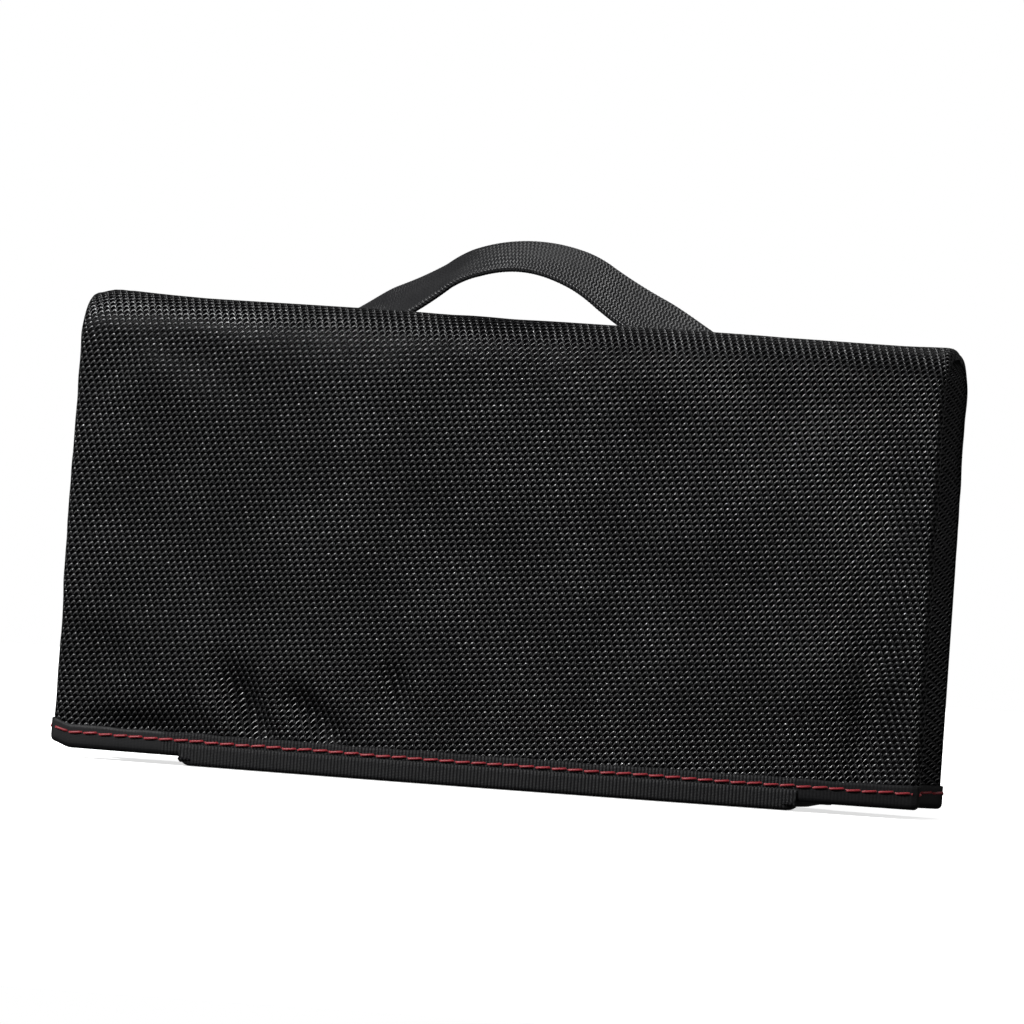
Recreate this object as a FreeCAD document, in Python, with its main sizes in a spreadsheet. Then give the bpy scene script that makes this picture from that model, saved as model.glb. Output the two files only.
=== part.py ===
"""Fire-resistant battery bag, standing handle up on its closure flap.

One strip of cloth makes the front panel, the closed end on top and the rear panel. Two creased gussets
close the sides. The mouth is at the bottom, bound with tape, and a flap folds under it and up the rear.
X runs across the bag, -Y is its front and +Z points to the handle. The origin lies on the ground, under
the middle of the bag. Millimetres.
"""

import FreeCAD
import Part
import Sketcher
import math
import os
import re

DIMENSIONS = {
    # Shell: outer sizes of the sewn cloth.
    "half_width": 120,
    "half_depth": 28,
    "panel_radius": 660,
    "mouth_height": 2.4,
    "bag_height": 125,
    "fold_radius": 12,
    # Plies of the wall and the air left between them.
    "cloth": 1.2,
    "padding": 2.4,
    "lining": 0.8,
    "ply_gap": 0.3,
    "padding_half_width": 108,
    "padding_lift": 9,
    # Gussets: their walls are measured along X, and the crease fades towards the closed end.
    "gusset_half_depth": 14.9,
    "gusset_wall": 1.6,
    "gusset_lining_wall": 1.1,
    "gusset_lining_half_depth": 12.5,
    "crease_at_mouth": 13,
    "crease_at_top": 5,
    # Binding tape round the mouth and the thread that holds it.
    "tape": 0.7,
    "tape_gap": 0.1,
    "tape_width": 6.4,
    "stitch_height": 4.3,
    "stitch_pitch": 4.4,
    "stitch_length": 3.1,
    "thread": 0.55,
    "thread_proud": 0.3,
    "thread_clear": 0.02,
    # Handle: webbing that is sewn flat at both ends and arches in an S on each side.
    "webbing_width": 25,
    "webbing": 1.8,
    "handle_half_span": 55,
    "handle_rise": 16,
    "handle_lean": 18,
    "crown_radius": 40,
    "crown_half_span": 20.5,
    "leg_start": 22.2,
    "foot_end": 76,
    "box_stitch_length": 15,
    "box_stitch_width": 19,
    "box_stitch_margin": 2.5,
    # Closure flap.
    "flap_half_width": 88,
    "flap_lining_inset": 4,
    "flap_corner": 12,
    "spine_corner": 3,
    "spine_front": 28.7,
    "tongue_outer": 32.7,
    "tongue_height": 62,
    "tongue_stitch_inset": 4.4,
    "tongue_stitch_low": 5.4,
    "fastener": 1.0,
    "fastener_half_width": 62,
    "fastener_low": 24,
    "fastener_width": 25,
    # How far a cutting sketch reaches past the material it cuts.
    "overcut": 1,
}

TOP = "mouth_height + bag_height"
PANEL_EDGE = "mouth_height + tape + tape_gap"
GUSSET_SHIFT = "tape + 2 * tape_gap"
BEHIND_PADDING = "cloth + padding + 2 * ply_gap"
FOOT_LEVEL = f"{TOP} + ply_gap + webbing / 2"

doc = FreeCAD.newDocument("battery_bag")
sheet = doc.addObject("Spreadsheet::Sheet", "dims")
parts = []


def fill_sheet():
    for row, (name, size) in enumerate(DIMENSIONS.items(), start=1):
        sheet.set(f"A{row}", name)
        sheet.set(f"B{row}", str(size))
        sheet.setAlias(f"B{row}", name)
    doc.recompute()


def formula(text):
    """An expression in which each dimension's name reads its cell."""
    def cell(word):
        return f"dims.{word.group()}" if word.group() in DIMENSIONS else word.group()

    return re.sub(r"[a-z_]+", cell, text)


def size(text):
    return float(sheet.evalExpression(formula(text)))


def sag(half_x):
    """How far a panel's plan curve falls back between the middle and this distance from it."""
    return f"(panel_radius - sqrt(panel_radius ^ 2 - ({half_x}) ^ 2))"


# Sketching and PartDesign helpers


def new_body(label):
    body = doc.addObject("PartDesign::Body", label)
    body.Label = label
    parts.append(body)
    return body


def new_sketch(body, role, offset="0"):
    """A sketch on one of the body's own origin planes, moved along the plane's normal."""
    plane = next(item for item in body.Origin.OriginFeatures if item.Role == role)
    sketch = body.newObject("Sketcher::SketchObject", f"{body.Name}_sketch")
    sketch.AttachmentSupport = (plane, [""])
    sketch.MapMode = "FlatFace"
    sketch.setExpression("AttachmentOffset.Base.z", formula(offset))
    return sketch


def arc_through(start, end, radius, side):
    """The shorter arc between two points, bulging to the right of the way travelled if side is 1."""
    chord = end - start
    right = FreeCAD.Vector(chord.y, -chord.x, 0) * (side / chord.Length)
    rise = radius - math.sqrt(radius**2 - (chord.Length / 2) ** 2)
    return Part.Arc(start, (start + end) / 2 + right * rise, end)


def draw_outline(sketch, corners, arcs=None):
    """A closed outline. arcs gives an edge's radius and side by the number of the corner it starts from."""
    arcs = arcs or {}
    points = [FreeCAD.Vector(size(x), size(y), 0) for x, y in corners]
    first = sketch.GeometryCount
    count = len(corners)
    starts = []
    for index, start in enumerate(points):
        end = points[(index + 1) % count]
        if index in arcs:
            radius, side = arcs[index]
            arc = arc_through(start, end, size(radius), side)
            sketch.addGeometry(arc, False)
            kept = sketch.getPoint(first + index, 1)
            starts.append(1 if kept.distanceToPoint(start) < 1e-6 else 2)
        else:
            sketch.addGeometry(Part.LineSegment(start, end), False)
            starts.append(1)
    for index in range(count):
        following = (index + 1) % count
        end_of = 3 - starts[index]
        sketch.addConstraint(
            Sketcher.Constraint("Coincident", first + index, end_of, first + following, starts[following])
        )
    for index, corner in enumerate(corners):
        for kind, text in zip(("DistanceX", "DistanceY"), corner):
            place = Sketcher.Constraint(kind, -1, 1, first + index, starts[index], size(text))
            number = sketch.addConstraint(place)
            sketch.setExpression(f"Constraints[{number}]", formula(text))
    for index, (radius, _) in arcs.items():
        number = sketch.addConstraint(Sketcher.Constraint("Radius", first + index, size(radius)))
        sketch.setExpression(f"Constraints[{number}]", formula(radius))
    doc.recompute()


def pad(body, sketch, length, middle=False, backwards=False):
    feature = body.newObject("PartDesign::Pad", f"{body.Name}_pad")
    feature.Profile = sketch
    feature.setExpression("Length", formula(length))
    if middle:
        feature.Midplane = True
    feature.Reversed = backwards
    doc.recompute()
    return feature


def pocket_up(body, sketch, length):
    """Cuts from the sketch towards +Z."""
    before = body.Shape.Volume
    feature = body.newObject("PartDesign::Pocket", f"{body.Name}_pocket")
    feature.Profile = sketch
    feature.setExpression("Length", formula(length))
    feature.Reversed = True
    doc.recompute()
    if feature.Shape.Volume >= before - 1e-6:
        raise RuntimeError(f"the pocket in {body.Label} cuts nothing")
    return feature


def fillet(body, radius, wanted):
    """Rounds the edges that wanted picks by their bounding box."""
    base = body.Tip
    names = [f"Edge{n}" for n, edge in enumerate(base.Shape.Edges, 1) if wanted(edge.BoundBox)]
    if not names:
        raise RuntimeError(f"no edge to round in {body.Label}")
    feature = body.newObject("PartDesign::Fillet", f"{body.Name}_fillet")
    feature.Base = (base, names)
    feature.setExpression("Radius", formula(radius))
    doc.recompute()
    return feature


def fold_edges(level):
    """Picks the two long edges across the bag at one height."""
    height = size(level)

    def wanted(box):
        return box.XLength > 100 and abs(box.ZMin - height) < 0.01 and box.ZLength < 0.01

    return wanted


# Outlines in plan


def plan_corners(half_x, inset):
    """The shell's outline in plan, set in from its outer face: curved front and rear, straight sides."""
    depth = f"half_depth - ({inset}) - {sag(half_x)}"
    return [
        (f"-({half_x})", f"-({depth})"),
        (half_x, f"-({depth})"),
        (half_x, depth),
        (f"-({half_x})", depth),
    ]


BOTH_CURVED = {0: ("panel_radius", 1), 2: ("panel_radius", 1)}


def panel_band(sketch, side, half_x, inset, thickness):
    """A curved band along the front (side -1) or rear (side 1) panel."""
    near = f"({side}) * (half_depth - ({inset}) - {sag(half_x)})"
    far = f"({side}) * (half_depth - ({inset}) - ({thickness}) - {sag(half_x)})"
    corners = [(f"-({half_x})", near), (half_x, near), (half_x, far), (f"-({half_x})", far)]
    draw_outline(sketch, corners, {0: ("panel_radius", -side), 2: ("panel_radius", side)})


def crease_corners(side, depth, half_y, shift, wall):
    """A creased gusset wall in plan. depth is the crease's, shift moves the wall in from the side seam."""
    tip = f"half_width - ({shift}) - ({depth})"
    edge = f"half_width - ({shift}) - ({depth}) * (1 - ({half_y}) / gusset_half_depth)"
    outside = [(edge, f"-({half_y})"), (tip, "0"), (edge, half_y)]
    inside = [(f"{x} - ({wall})", y) for x, y in reversed(outside)]
    return [(f"({side}) * ({x})", y) for x, y in outside + inside]


# Sub-parts: the sewn shell


def folded_sheet(label, inset, thickness, half_x, bottom):
    """A ply that runs up the front, over the closed end and down the rear."""
    body = new_body(label)
    outer = new_sketch(body, "XY_Plane", bottom)
    draw_outline(outer, plan_corners(half_x, inset), BOTH_CURVED)
    pad(body, outer, f"{TOP} - ({inset}) - ({bottom})")
    inner = new_sketch(body, "XY_Plane", bottom)
    past_the_ends = f"{half_x} + overcut"
    draw_outline(inner, plan_corners(past_the_ends, f"{inset} + {thickness}"), BOTH_CURVED)
    ceiling = f"{TOP} - ({inset}) - ({thickness})"
    pocket_up(body, inner, f"{ceiling} - ({bottom})")
    fillet(body, f"fold_radius - ({inset}) - ({thickness})", fold_edges(ceiling))
    fillet(body, f"fold_radius - ({inset})", fold_edges(f"{TOP} - ({inset})"))


def gusset(label, side, shift, wall, half_y, top_inset, bottom):
    """A creased side wall, a ruled loft that follows the round folds at the closed end."""
    body = new_body(label)
    radius = f"(fold_radius - ({top_inset}))"
    straight = "mouth_height + tape_width + overcut"
    levels = [
        (bottom, half_y),
        (straight, half_y),
        (f"{TOP} - ({top_inset}) - {radius}", half_y),
        (f"{TOP} - ({top_inset}) - {radius} * (1 - sin(45))", f"{half_y} - {radius} * (1 - cos(45))"),
        (f"{TOP} - ({top_inset})", f"{half_y} - {radius}"),
    ]
    sections = []
    for height, reach in levels:
        faded = f"max(({height}) - ({straight}); 0) / ({TOP} - ({straight}))"
        depth = f"crease_at_mouth - (crease_at_mouth - crease_at_top) * {faded}"
        section = new_sketch(body, "XY_Plane", height)
        draw_outline(section, crease_corners(side, depth, reach, shift, wall))
        sections.append(section)
    loft = body.newObject("PartDesign::AdditiveLoft", f"{body.Name}_loft")
    loft.Profile = sections[0]
    loft.Sections = sections[1:]
    loft.Ruled = True
    doc.recompute()


def padding_panel(label, side):
    """A flat sheet of insulating felt, curved to lie behind one panel."""
    body = new_body(label)
    bottom = "mouth_height + padding_lift"
    sketch = new_sketch(body, "XY_Plane", bottom)
    panel_band(sketch, side, "padding_half_width", "cloth + ply_gap", "padding")
    pad(body, sketch, f"{TOP} - fold_radius - ({bottom})")


def top_padding():
    box = doc.addObject("Part::Box", "top_padding")
    box.Label = "top_padding"
    box.setExpression("Length", formula("2 * padding_half_width"))
    half_y = f"(half_depth - fold_radius - {sag('padding_half_width')})"
    box.setExpression("Width", formula(f"2 * {half_y}"))
    box.setExpression("Height", formula("padding"))
    box.setExpression("Placement.Base.x", formula("-padding_half_width"))
    box.setExpression("Placement.Base.y", formula(f"-{half_y}"))
    box.setExpression("Placement.Base.z", formula(f"{TOP} - cloth - ply_gap - padding"))
    parts.append(box)


# Sub-parts: the bound mouth


def mouth_tape_run(label, side):
    """Tape folded over the lower edge of the front (side -1) or rear (side 1) panel."""
    body = new_body(label)
    outer = new_sketch(body, "XY_Plane", "mouth_height")
    panel_band(outer, side, "half_width", "-(tape + tape_gap)", "cloth + 2 * (tape + tape_gap)")
    pad(body, outer, "tape_width")
    channel = new_sketch(body, "XY_Plane", "mouth_height + tape")
    panel_band(channel, side, "half_width + overcut", "-tape_gap", "cloth + 2 * tape_gap")
    pocket_up(body, channel, "tape_width")


def mouth_tape_crease(label, side):
    """Tape folded over the lower edge of a gusset."""
    body = new_body(label)
    clearance = "(tape + tape_gap)"
    outer = new_sketch(body, "XY_Plane", "mouth_height")
    half_y = "gusset_half_depth - tape_gap"
    wide = f"gusset_wall + 2 * {clearance}"
    shift = f"{GUSSET_SHIFT} - {clearance}"
    draw_outline(outer, crease_corners(side, "crease_at_mouth", half_y, shift, wide))
    pad(body, outer, "tape_width")
    channel = new_sketch(body, "XY_Plane", "mouth_height + tape")
    half_y = "gusset_half_depth + overcut"
    narrow = "gusset_wall + 2 * tape_gap"
    shift = f"{GUSSET_SHIFT} - tape_gap"
    draw_outline(channel, crease_corners(side, "crease_at_mouth", half_y, shift, narrow))
    pocket_up(body, channel, "tape_width")


def stitch(place, heading, lean=0):
    """One stitch lying along heading, a direction in the XY plane, at its middle point."""
    length, thread, proud = size("stitch_length"), size("thread"), size("thread_proud")
    bar = Part.makeBox(length, 2 * proud, thread, FreeCAD.Vector(-length / 2, -proud, -thread / 2))
    turn = FreeCAD.Rotation(FreeCAD.Vector(0, 0, 1), math.degrees(heading))
    turn = turn * FreeCAD.Rotation(FreeCAD.Vector(0, 1, 0), lean)
    bar.Placement = FreeCAD.Placement(place, turn)
    return bar


def add_stitching(label, stitches):
    feature = doc.addObject("Part::Feature", label)
    feature.Label = label
    feature.Shape = Part.makeCompound(stitches)
    parts.append(feature)


def panel_stitching(label, side):
    """The thread on the outer face of a panel's tape, following its curve."""
    radius = size("panel_radius + tape + tape_gap + thread_proud + thread_clear")
    reach = size("half_width - stitch_pitch")
    count = int(2 * reach / size("stitch_pitch")) + 1
    height = size("mouth_height + stitch_height")
    centre = size("half_depth - panel_radius")
    stitches = []
    for number in range(count):
        angle = (number - (count - 1) / 2) * size("stitch_pitch") / radius
        place = FreeCAD.Vector(radius * math.sin(angle), side * (centre + radius * math.cos(angle)), height)
        stitches.append(stitch(place, -side * angle))
    add_stitching(label, stitches)


def crease_stitching(label, side):
    """The thread on the outer face of a gusset's tape, along both halves of the crease."""
    slope = math.atan2(size("crease_at_mouth"), size("gusset_half_depth"))
    leg = math.hypot(size("crease_at_mouth"), size("gusset_half_depth"))
    clear = size("thread_proud + thread_clear") / math.cos(slope)
    tip = size("half_width - tape_gap - crease_at_mouth") + clear
    height = size("mouth_height + stitch_height")
    stitches = []
    for half in (-1, 1):
        for number in range(int(leg / size("stitch_pitch")) - 1):
            along = (number + 1) * size("stitch_pitch")
            x = tip + along * math.sin(slope)
            place = FreeCAD.Vector(side * x, half * along * math.cos(slope), height)
            heading = math.atan2(half * math.cos(slope), side * math.sin(slope))
            stitches.append(stitch(place, heading))
    add_stitching(label, stitches)


# Sub-parts: the handle


def arch_height(radius, centre_x, x, over):
    """Height of a point on an arc of the arch. over is 1 on the crown and -1 on a foot's upward curve."""
    return f"({over}) * sqrt(({radius}) ^ 2 - (({x}) - ({centre_x})) ^ 2)"


def handle_leg(label, side):
    """The sewn foot and the upward curve that carries one end of the crown."""
    foot_radius = "((handle_half_span ^ 2 + handle_rise ^ 2) / (2 * handle_rise) - crown_radius)"
    centre = f"{FOOT_LEVEL} + {foot_radius}"
    under, upper = f"{foot_radius} + webbing / 2", f"{foot_radius} - webbing / 2"
    low = f"{centre} + {arch_height(under, 'handle_half_span', 'leg_start', -1)}"
    high = f"{centre} + {arch_height(upper, 'handle_half_span', 'leg_start', -1)}"
    corners = [
        ("foot_end", f"{FOOT_LEVEL} - webbing / 2"),
        ("handle_half_span", f"{FOOT_LEVEL} - webbing / 2"),
        ("leg_start", low),
        ("leg_start", high),
        ("handle_half_span", f"{FOOT_LEVEL} + webbing / 2"),
        ("foot_end", f"{FOOT_LEVEL} + webbing / 2"),
    ]
    corners = [(f"({side}) * ({x})", z) for x, z in corners]
    body = new_body(label)
    sketch = new_sketch(body, "XZ_Plane")
    draw_outline(sketch, corners, {1: (under, -side), 3: (upper, side)})
    pad(body, sketch, "webbing_width", middle=True)


def handle_crown():
    """The free middle of the webbing, over the fingers."""
    centre = f"{FOOT_LEVEL} + handle_rise - crown_radius"
    under, upper = "crown_radius - webbing / 2", "crown_radius + webbing / 2"
    low = f"{centre} + {arch_height(under, '0', 'crown_half_span', 1)}"
    high = f"{centre} + {arch_height(upper, '0', 'crown_half_span', 1)}"
    corners = [
        ("-crown_half_span", low),
        ("crown_half_span", low),
        ("crown_half_span", high),
        ("-crown_half_span", high),
    ]
    body = new_body("handle_crown")
    sketch = new_sketch(body, "XZ_Plane")
    draw_outline(sketch, corners, {0: (under, -1), 2: (upper, 1)})
    pad(body, sketch, "webbing_width", middle=True)
    lean_about_feet(body)


def lean_about_feet(body):
    """Leans the crown forwards about the line through the feet, as it stands when it is let go."""
    forwards = FreeCAD.Rotation(FreeCAD.Vector(1, 0, 0), size("handle_lean"))
    body.Placement = FreeCAD.Placement(FreeCAD.Vector(), forwards)
    body.setExpression("Placement.Rotation.Angle", formula("handle_lean"))
    body.setExpression("Placement.Base.y", formula(f"({FOOT_LEVEL}) * sin(handle_lean)"))
    body.setExpression("Placement.Base.z", formula(f"({FOOT_LEVEL}) * (1 - cos(handle_lean))"))


def box_stitching(label, side):
    """Four sides and one diagonal of thread, sewn through the foot."""
    length, width = size("box_stitch_length"), size("box_stitch_width")
    thread, proud = size("thread"), size("thread_proud")
    level = size(f"{FOOT_LEVEL} + webbing / 2 + thread_clear")
    middle = side * size("foot_end - box_stitch_margin - box_stitch_length / 2")
    diagonal = math.hypot(length - 3 * thread, width - 3 * thread)
    runs = [
        (0, (width - thread) / 2, length, 0),
        (0, -(width - thread) / 2, length, 0),
        ((length - thread) / 2, 0, width - 2.4 * thread, 90),
        (-(length - thread) / 2, 0, width - 2.4 * thread, 90),
        (0, 0, diagonal - 3 * thread, math.degrees(math.atan2(width, length))),
    ]
    bars = []
    for x, y, run, angle in runs:
        bar = Part.makeBox(run, thread, proud, FreeCAD.Vector(-run / 2, -thread / 2, 0))
        turn = FreeCAD.Rotation(FreeCAD.Vector(0, 0, 1), angle)
        bar.Placement = FreeCAD.Placement(FreeCAD.Vector(middle + x, y, level), turn)
        bars.append(bar)
    add_stitching(label, bars)


# Sub-parts: the closure flap


def spine_plate(label, border, bottom, thickness):
    """A ply of the spine: a level sheet whose long edges follow the panels' curves, with round corners."""
    body = new_body(label)
    sketch = new_sketch(body, "XY_Plane", bottom)
    half_x = f"(flap_half_width - ({border}))"
    front = f"-(spine_front - ({border}) - {sag(half_x)})"
    rear = f"(tongue_outer - ({border}) - {sag(half_x)})"
    corners = [(f"-{half_x}", front), (half_x, front), (half_x, rear), (f"-{half_x}", rear)]
    draw_outline(sketch, corners, BOTH_CURVED)
    pad(body, sketch, thickness)
    tall = size(thickness)
    fillet(body, "spine_corner", lambda box: abs(box.ZLength - tall) < 0.01 and box.XLength < 0.01)


def cut_upper_corners(body, half_x, top, corner):
    """Rounds a sheet's two upper corners by cutting right through it."""
    sketch = new_sketch(body, "XZ_Plane")
    for side in (-1, 1):
        inner = f"({side}) * ({half_x} - ({corner}))"
        beyond = f"({side}) * ({half_x} + overcut)"
        outline = [
            (f"({side}) * ({half_x})", f"{top} - ({corner})"),
            (inner, top),
            (inner, f"{top} + overcut"),
            (beyond, f"{top} + overcut"),
            (beyond, f"{top} - ({corner})"),
        ]
        draw_outline(sketch, outline, {0: (corner, side)})
    cut_through(body, sketch, f"{body.Name}_corners")


def cut_through(body, sketch, name):
    cut = body.newObject("PartDesign::Pocket", name)
    cut.Profile = sketch
    cut.Type = "ThroughAll"
    cut.Midplane = True
    doc.recompute()


def tongue_sheet(label, border, inset, thickness):
    """A ply of the tongue, curved like the rear panel. inset is measured from the panel's outer face."""
    body = new_body(label)
    sketch = new_sketch(body, "XY_Plane", "mouth_height")
    half_x = f"(flap_half_width - ({border}))"
    panel_band(sketch, 1, half_x, inset, thickness)
    top = f"(tongue_height - ({border}))"
    pad(body, sketch, f"{top} - mouth_height")
    cut_upper_corners(body, half_x, top, f"flap_corner - ({border}) / 2")
    return body


def tongue_tape():
    """Binding round the tongue's three free edges, on its outer face."""
    body = tongue_sheet("tongue_tape", "0", "half_depth - tongue_outer - tape_gap - tape", "tape")
    half_x, top = "(flap_half_width - tape_width)", "(tongue_height - tape_width)"
    corner = "(flap_corner - tape_width / 2)"
    window = new_sketch(body, "XZ_Plane")
    outline = [
        (f"-{half_x}", "0"),
        (half_x, "0"),
        (half_x, f"{top} - {corner}"),
        (f"{half_x} - {corner}", top),
        (f"-{half_x} + {corner}", top),
        (f"-{half_x}", f"{top} - {corner}"),
    ]
    draw_outline(window, outline, {2: (corner, 1), 4: (corner, 1)})
    cut_through(body, window, "tongue_tape_window")


def tongue_stitching():
    """Thread along the middle of the tongue's binding."""
    half_x = size("flap_half_width - tongue_stitch_inset")
    top, low = size("tongue_height - tongue_stitch_inset"), size("tongue_stitch_low")
    corner = size("flap_corner - tongue_stitch_inset / 2")
    outside = size("tongue_outer + tape_gap + tape + thread_proud + thread_clear")
    radius = size("panel_radius - half_depth") + outside
    pitch = size("stitch_pitch")
    places = []
    for side in (-1, 1):
        for number in range(int((top - corner - low) / pitch)):
            places.append((side * half_x, low + (number + 0.5) * pitch, 90))
    count = int(2 * (half_x - corner) / pitch)
    for number in range(count):
        places.append(((number - (count - 1) / 2) * pitch, top, 0))
    stitches = []
    for x, z, lean in places:
        angle = math.asin(x / radius)
        place = FreeCAD.Vector(x, outside - radius * (1 - math.cos(angle)), z)
        stitches.append(stitch(place, -angle, lean))
    add_stitching("tongue_stitching", stitches)


def loop_strip():
    """The soft half of the fastener, sewn on the rear panel."""
    body = new_body("loop_strip")
    sketch = new_sketch(body, "XY_Plane", "mouth_height + fastener_low")
    panel_band(sketch, 1, "fastener_half_width", "-(fastener + tape_gap)", "fastener")
    pad(body, sketch, "fastener_width")


def hook_strip():
    """The stiff half of the fastener, sewn on the tongue."""
    body = new_body("hook_strip")
    sketch = new_sketch(body, "XY_Plane", "mouth_height + fastener_low")
    facing = "half_depth - tongue_outer + cloth + lining + 2 * tape_gap"
    panel_band(sketch, 1, "fastener_half_width", facing, "fastener")
    pad(body, sketch, "fastener_width")


def build_shell():
    folded_sheet("outer_wrap", "0", "cloth", "half_width", PANEL_EDGE)
    folded_sheet("lining_wrap", BEHIND_PADDING, "lining", "padding_half_width", PANEL_EDGE)
    outer_top = "cloth + ply_gap"
    lining_top = f"{BEHIND_PADDING} + lining + ply_gap"
    lining_shift = f"{GUSSET_SHIFT} + gusset_wall + tape + 2 * tape_gap"
    lining_bottom = "mouth_height + tape_width + ply_gap"
    lining_half = "gusset_lining_half_depth"
    outer_half = "gusset_half_depth"
    for name, side in (("left", -1), ("right", 1)):
        gusset(f"{name}_gusset", side, GUSSET_SHIFT, "gusset_wall", outer_half, outer_top, PANEL_EDGE)
        lining = f"{name}_gusset_lining"
        gusset(lining, side, lining_shift, "gusset_lining_wall", lining_half, lining_top, lining_bottom)
    padding_panel("front_padding", -1)
    padding_panel("rear_padding", 1)
    top_padding()


def build_mouth():
    for name, side in (("front", -1), ("rear", 1)):
        mouth_tape_run(f"{name}_mouth_tape", side)
        panel_stitching(f"{name}_mouth_stitching", side)
    for name, side in (("left", -1), ("right", 1)):
        mouth_tape_crease(f"{name}_mouth_tape", side)
        crease_stitching(f"{name}_mouth_stitching", side)


def build_handle():
    for name, side in (("left", -1), ("right", 1)):
        handle_leg(f"handle_{name}_leg", side)
        box_stitching(f"handle_{name}_stitching", side)
    handle_crown()


def build_flap():
    spine_plate("flap_spine", "0", "0", "cloth")
    spine_plate("flap_spine_lining", "flap_lining_inset", "cloth + tape_gap", "lining")
    beyond_panel = "half_depth - tongue_outer"
    tongue_sheet("flap_tongue", "0", beyond_panel, "cloth")
    tongue_sheet("flap_tongue_lining", "flap_lining_inset", f"{beyond_panel} + cloth + tape_gap", "lining")
    tongue_tape()
    tongue_stitching()
    loop_strip()
    hook_strip()


def check_document():
    doc.recompute()
    for item in doc.Objects:
        if "Invalid" in item.State or "Error" in item.State:
            raise RuntimeError(f"{item.Label} failed: {item.State}")
    for part in parts:
        if part.Shape.isNull() or not part.Shape.isValid():
            raise RuntimeError(f"{part.Label} has no valid shape")


def write_parts():
    os.makedirs("parts", exist_ok=True)
    for part in parts:
        part.Shape.exportStep(f"parts/{part.Label}.step")
        box = part.Shape.BoundBox
        print(f"{part.Label:26} solids {len(part.Shape.Solids):3} volume {part.Shape.Volume:10.1f}", box)


fill_sheet()
build_shell()
build_mouth()
build_handle()
build_flap()
check_document()
write_parts()
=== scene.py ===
import math
import random

import bmesh
import bpy
import numpy as np
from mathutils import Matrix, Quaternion, Vector


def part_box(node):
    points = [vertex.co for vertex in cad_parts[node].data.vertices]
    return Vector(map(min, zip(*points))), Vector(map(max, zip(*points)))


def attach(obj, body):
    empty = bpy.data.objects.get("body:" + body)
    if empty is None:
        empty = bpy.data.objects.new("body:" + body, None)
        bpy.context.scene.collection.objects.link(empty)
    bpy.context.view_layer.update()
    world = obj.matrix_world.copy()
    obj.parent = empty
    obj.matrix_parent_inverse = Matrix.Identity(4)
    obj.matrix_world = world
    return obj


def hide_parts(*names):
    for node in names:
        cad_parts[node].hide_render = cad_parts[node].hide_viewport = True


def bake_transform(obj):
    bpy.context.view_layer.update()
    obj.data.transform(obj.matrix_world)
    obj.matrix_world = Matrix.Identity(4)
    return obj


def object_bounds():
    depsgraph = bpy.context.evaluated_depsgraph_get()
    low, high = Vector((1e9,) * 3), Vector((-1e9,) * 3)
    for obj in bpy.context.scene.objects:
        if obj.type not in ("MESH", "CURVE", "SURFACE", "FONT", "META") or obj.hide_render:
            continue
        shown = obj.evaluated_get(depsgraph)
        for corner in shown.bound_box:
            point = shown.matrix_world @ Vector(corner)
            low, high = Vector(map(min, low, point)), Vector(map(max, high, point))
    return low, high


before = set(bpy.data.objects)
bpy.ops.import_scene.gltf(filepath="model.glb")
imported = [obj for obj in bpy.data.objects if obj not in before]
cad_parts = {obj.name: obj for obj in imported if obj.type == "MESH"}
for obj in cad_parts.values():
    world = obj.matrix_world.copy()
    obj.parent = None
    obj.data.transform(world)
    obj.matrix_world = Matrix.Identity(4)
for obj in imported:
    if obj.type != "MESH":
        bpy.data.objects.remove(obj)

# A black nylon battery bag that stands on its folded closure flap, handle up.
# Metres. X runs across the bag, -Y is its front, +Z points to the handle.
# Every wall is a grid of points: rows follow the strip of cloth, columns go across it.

size_at_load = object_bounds()

MM = 0.001
chance = random.Random(11)

# Sizes read from the frame.
WRAP_LOW, WRAP_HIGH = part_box("outer_wrap")
HALF_WIDTH = WRAP_HIGH.x
HALF_DEPTH = WRAP_HIGH.y
CLOTH_FOOT = WRAP_LOW.z
TOP = WRAP_HIGH.z
TAPE_LOW, TAPE_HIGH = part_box("front_mouth_tape")
FLAP_LOW, FLAP_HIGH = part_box("flap_spine")
TONGUE_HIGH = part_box("flap_tongue")[1]
STRAP_LOW, STRAP_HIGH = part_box("handle_right_leg")

# Sizes of the sewn shell that no box gives: its curves, its cloth and its seams.
PANEL_RADIUS = 660 * MM
FOLD_RADIUS = 12 * MM
EDGE_ROLL = 3 * MM
CREASE_AT_MOUTH = 13 * MM
CREASE_AT_TOP = 5 * MM
CLOTH = 1.2 * MM
TAPE = 0.7 * MM
TAPE_GAP = 0.1 * MM
STITCH_LEVEL = 6.7 * MM


# Arrays of points


def unit(vectors):
    """The same directions with a length of 1."""
    return vectors / np.linalg.norm(vectors, axis=-1, keepdims=True)


def ease(t):
    """0 below 0, 1 above 1 and smooth between."""
    t = np.clip(t, 0, 1)
    return t * t * (3 - 2 * t)


def fall(x):
    """How far a panel's plan curve falls back at x from its middle."""
    return PANEL_RADIUS - np.sqrt(PANEL_RADIUS**2 - np.square(x))


def refine(grid, axis):
    """One round of cubic subdivision along one axis of a grid, with its ends kept."""
    grid = np.moveaxis(grid, axis, 0)
    fine = np.empty((2 * len(grid) - 1,) + grid.shape[1:])
    fine[0::2] = grid
    fine[2:-1:2] = (grid[:-2] + 6 * grid[1:-1] + grid[2:]) / 8
    fine[1::2] = (grid[:-1] + grid[1:]) / 2
    return np.moveaxis(fine, 0, axis)


def grid_normals(grid):
    """Unit normals, out of the face that sees columns run right and rows run up."""
    return unit(np.cross(np.gradient(grid, axis=1), np.gradient(grid, axis=0)))


def lengths_along(points, close=False):
    """The distance travelled to each point, and back to the first if the line is closed."""
    steps = np.diff(points, axis=0, append=points[:1]) if close else np.diff(points, axis=0)
    return np.concatenate([[0], np.cumsum(np.linalg.norm(steps, axis=1))])


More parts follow.
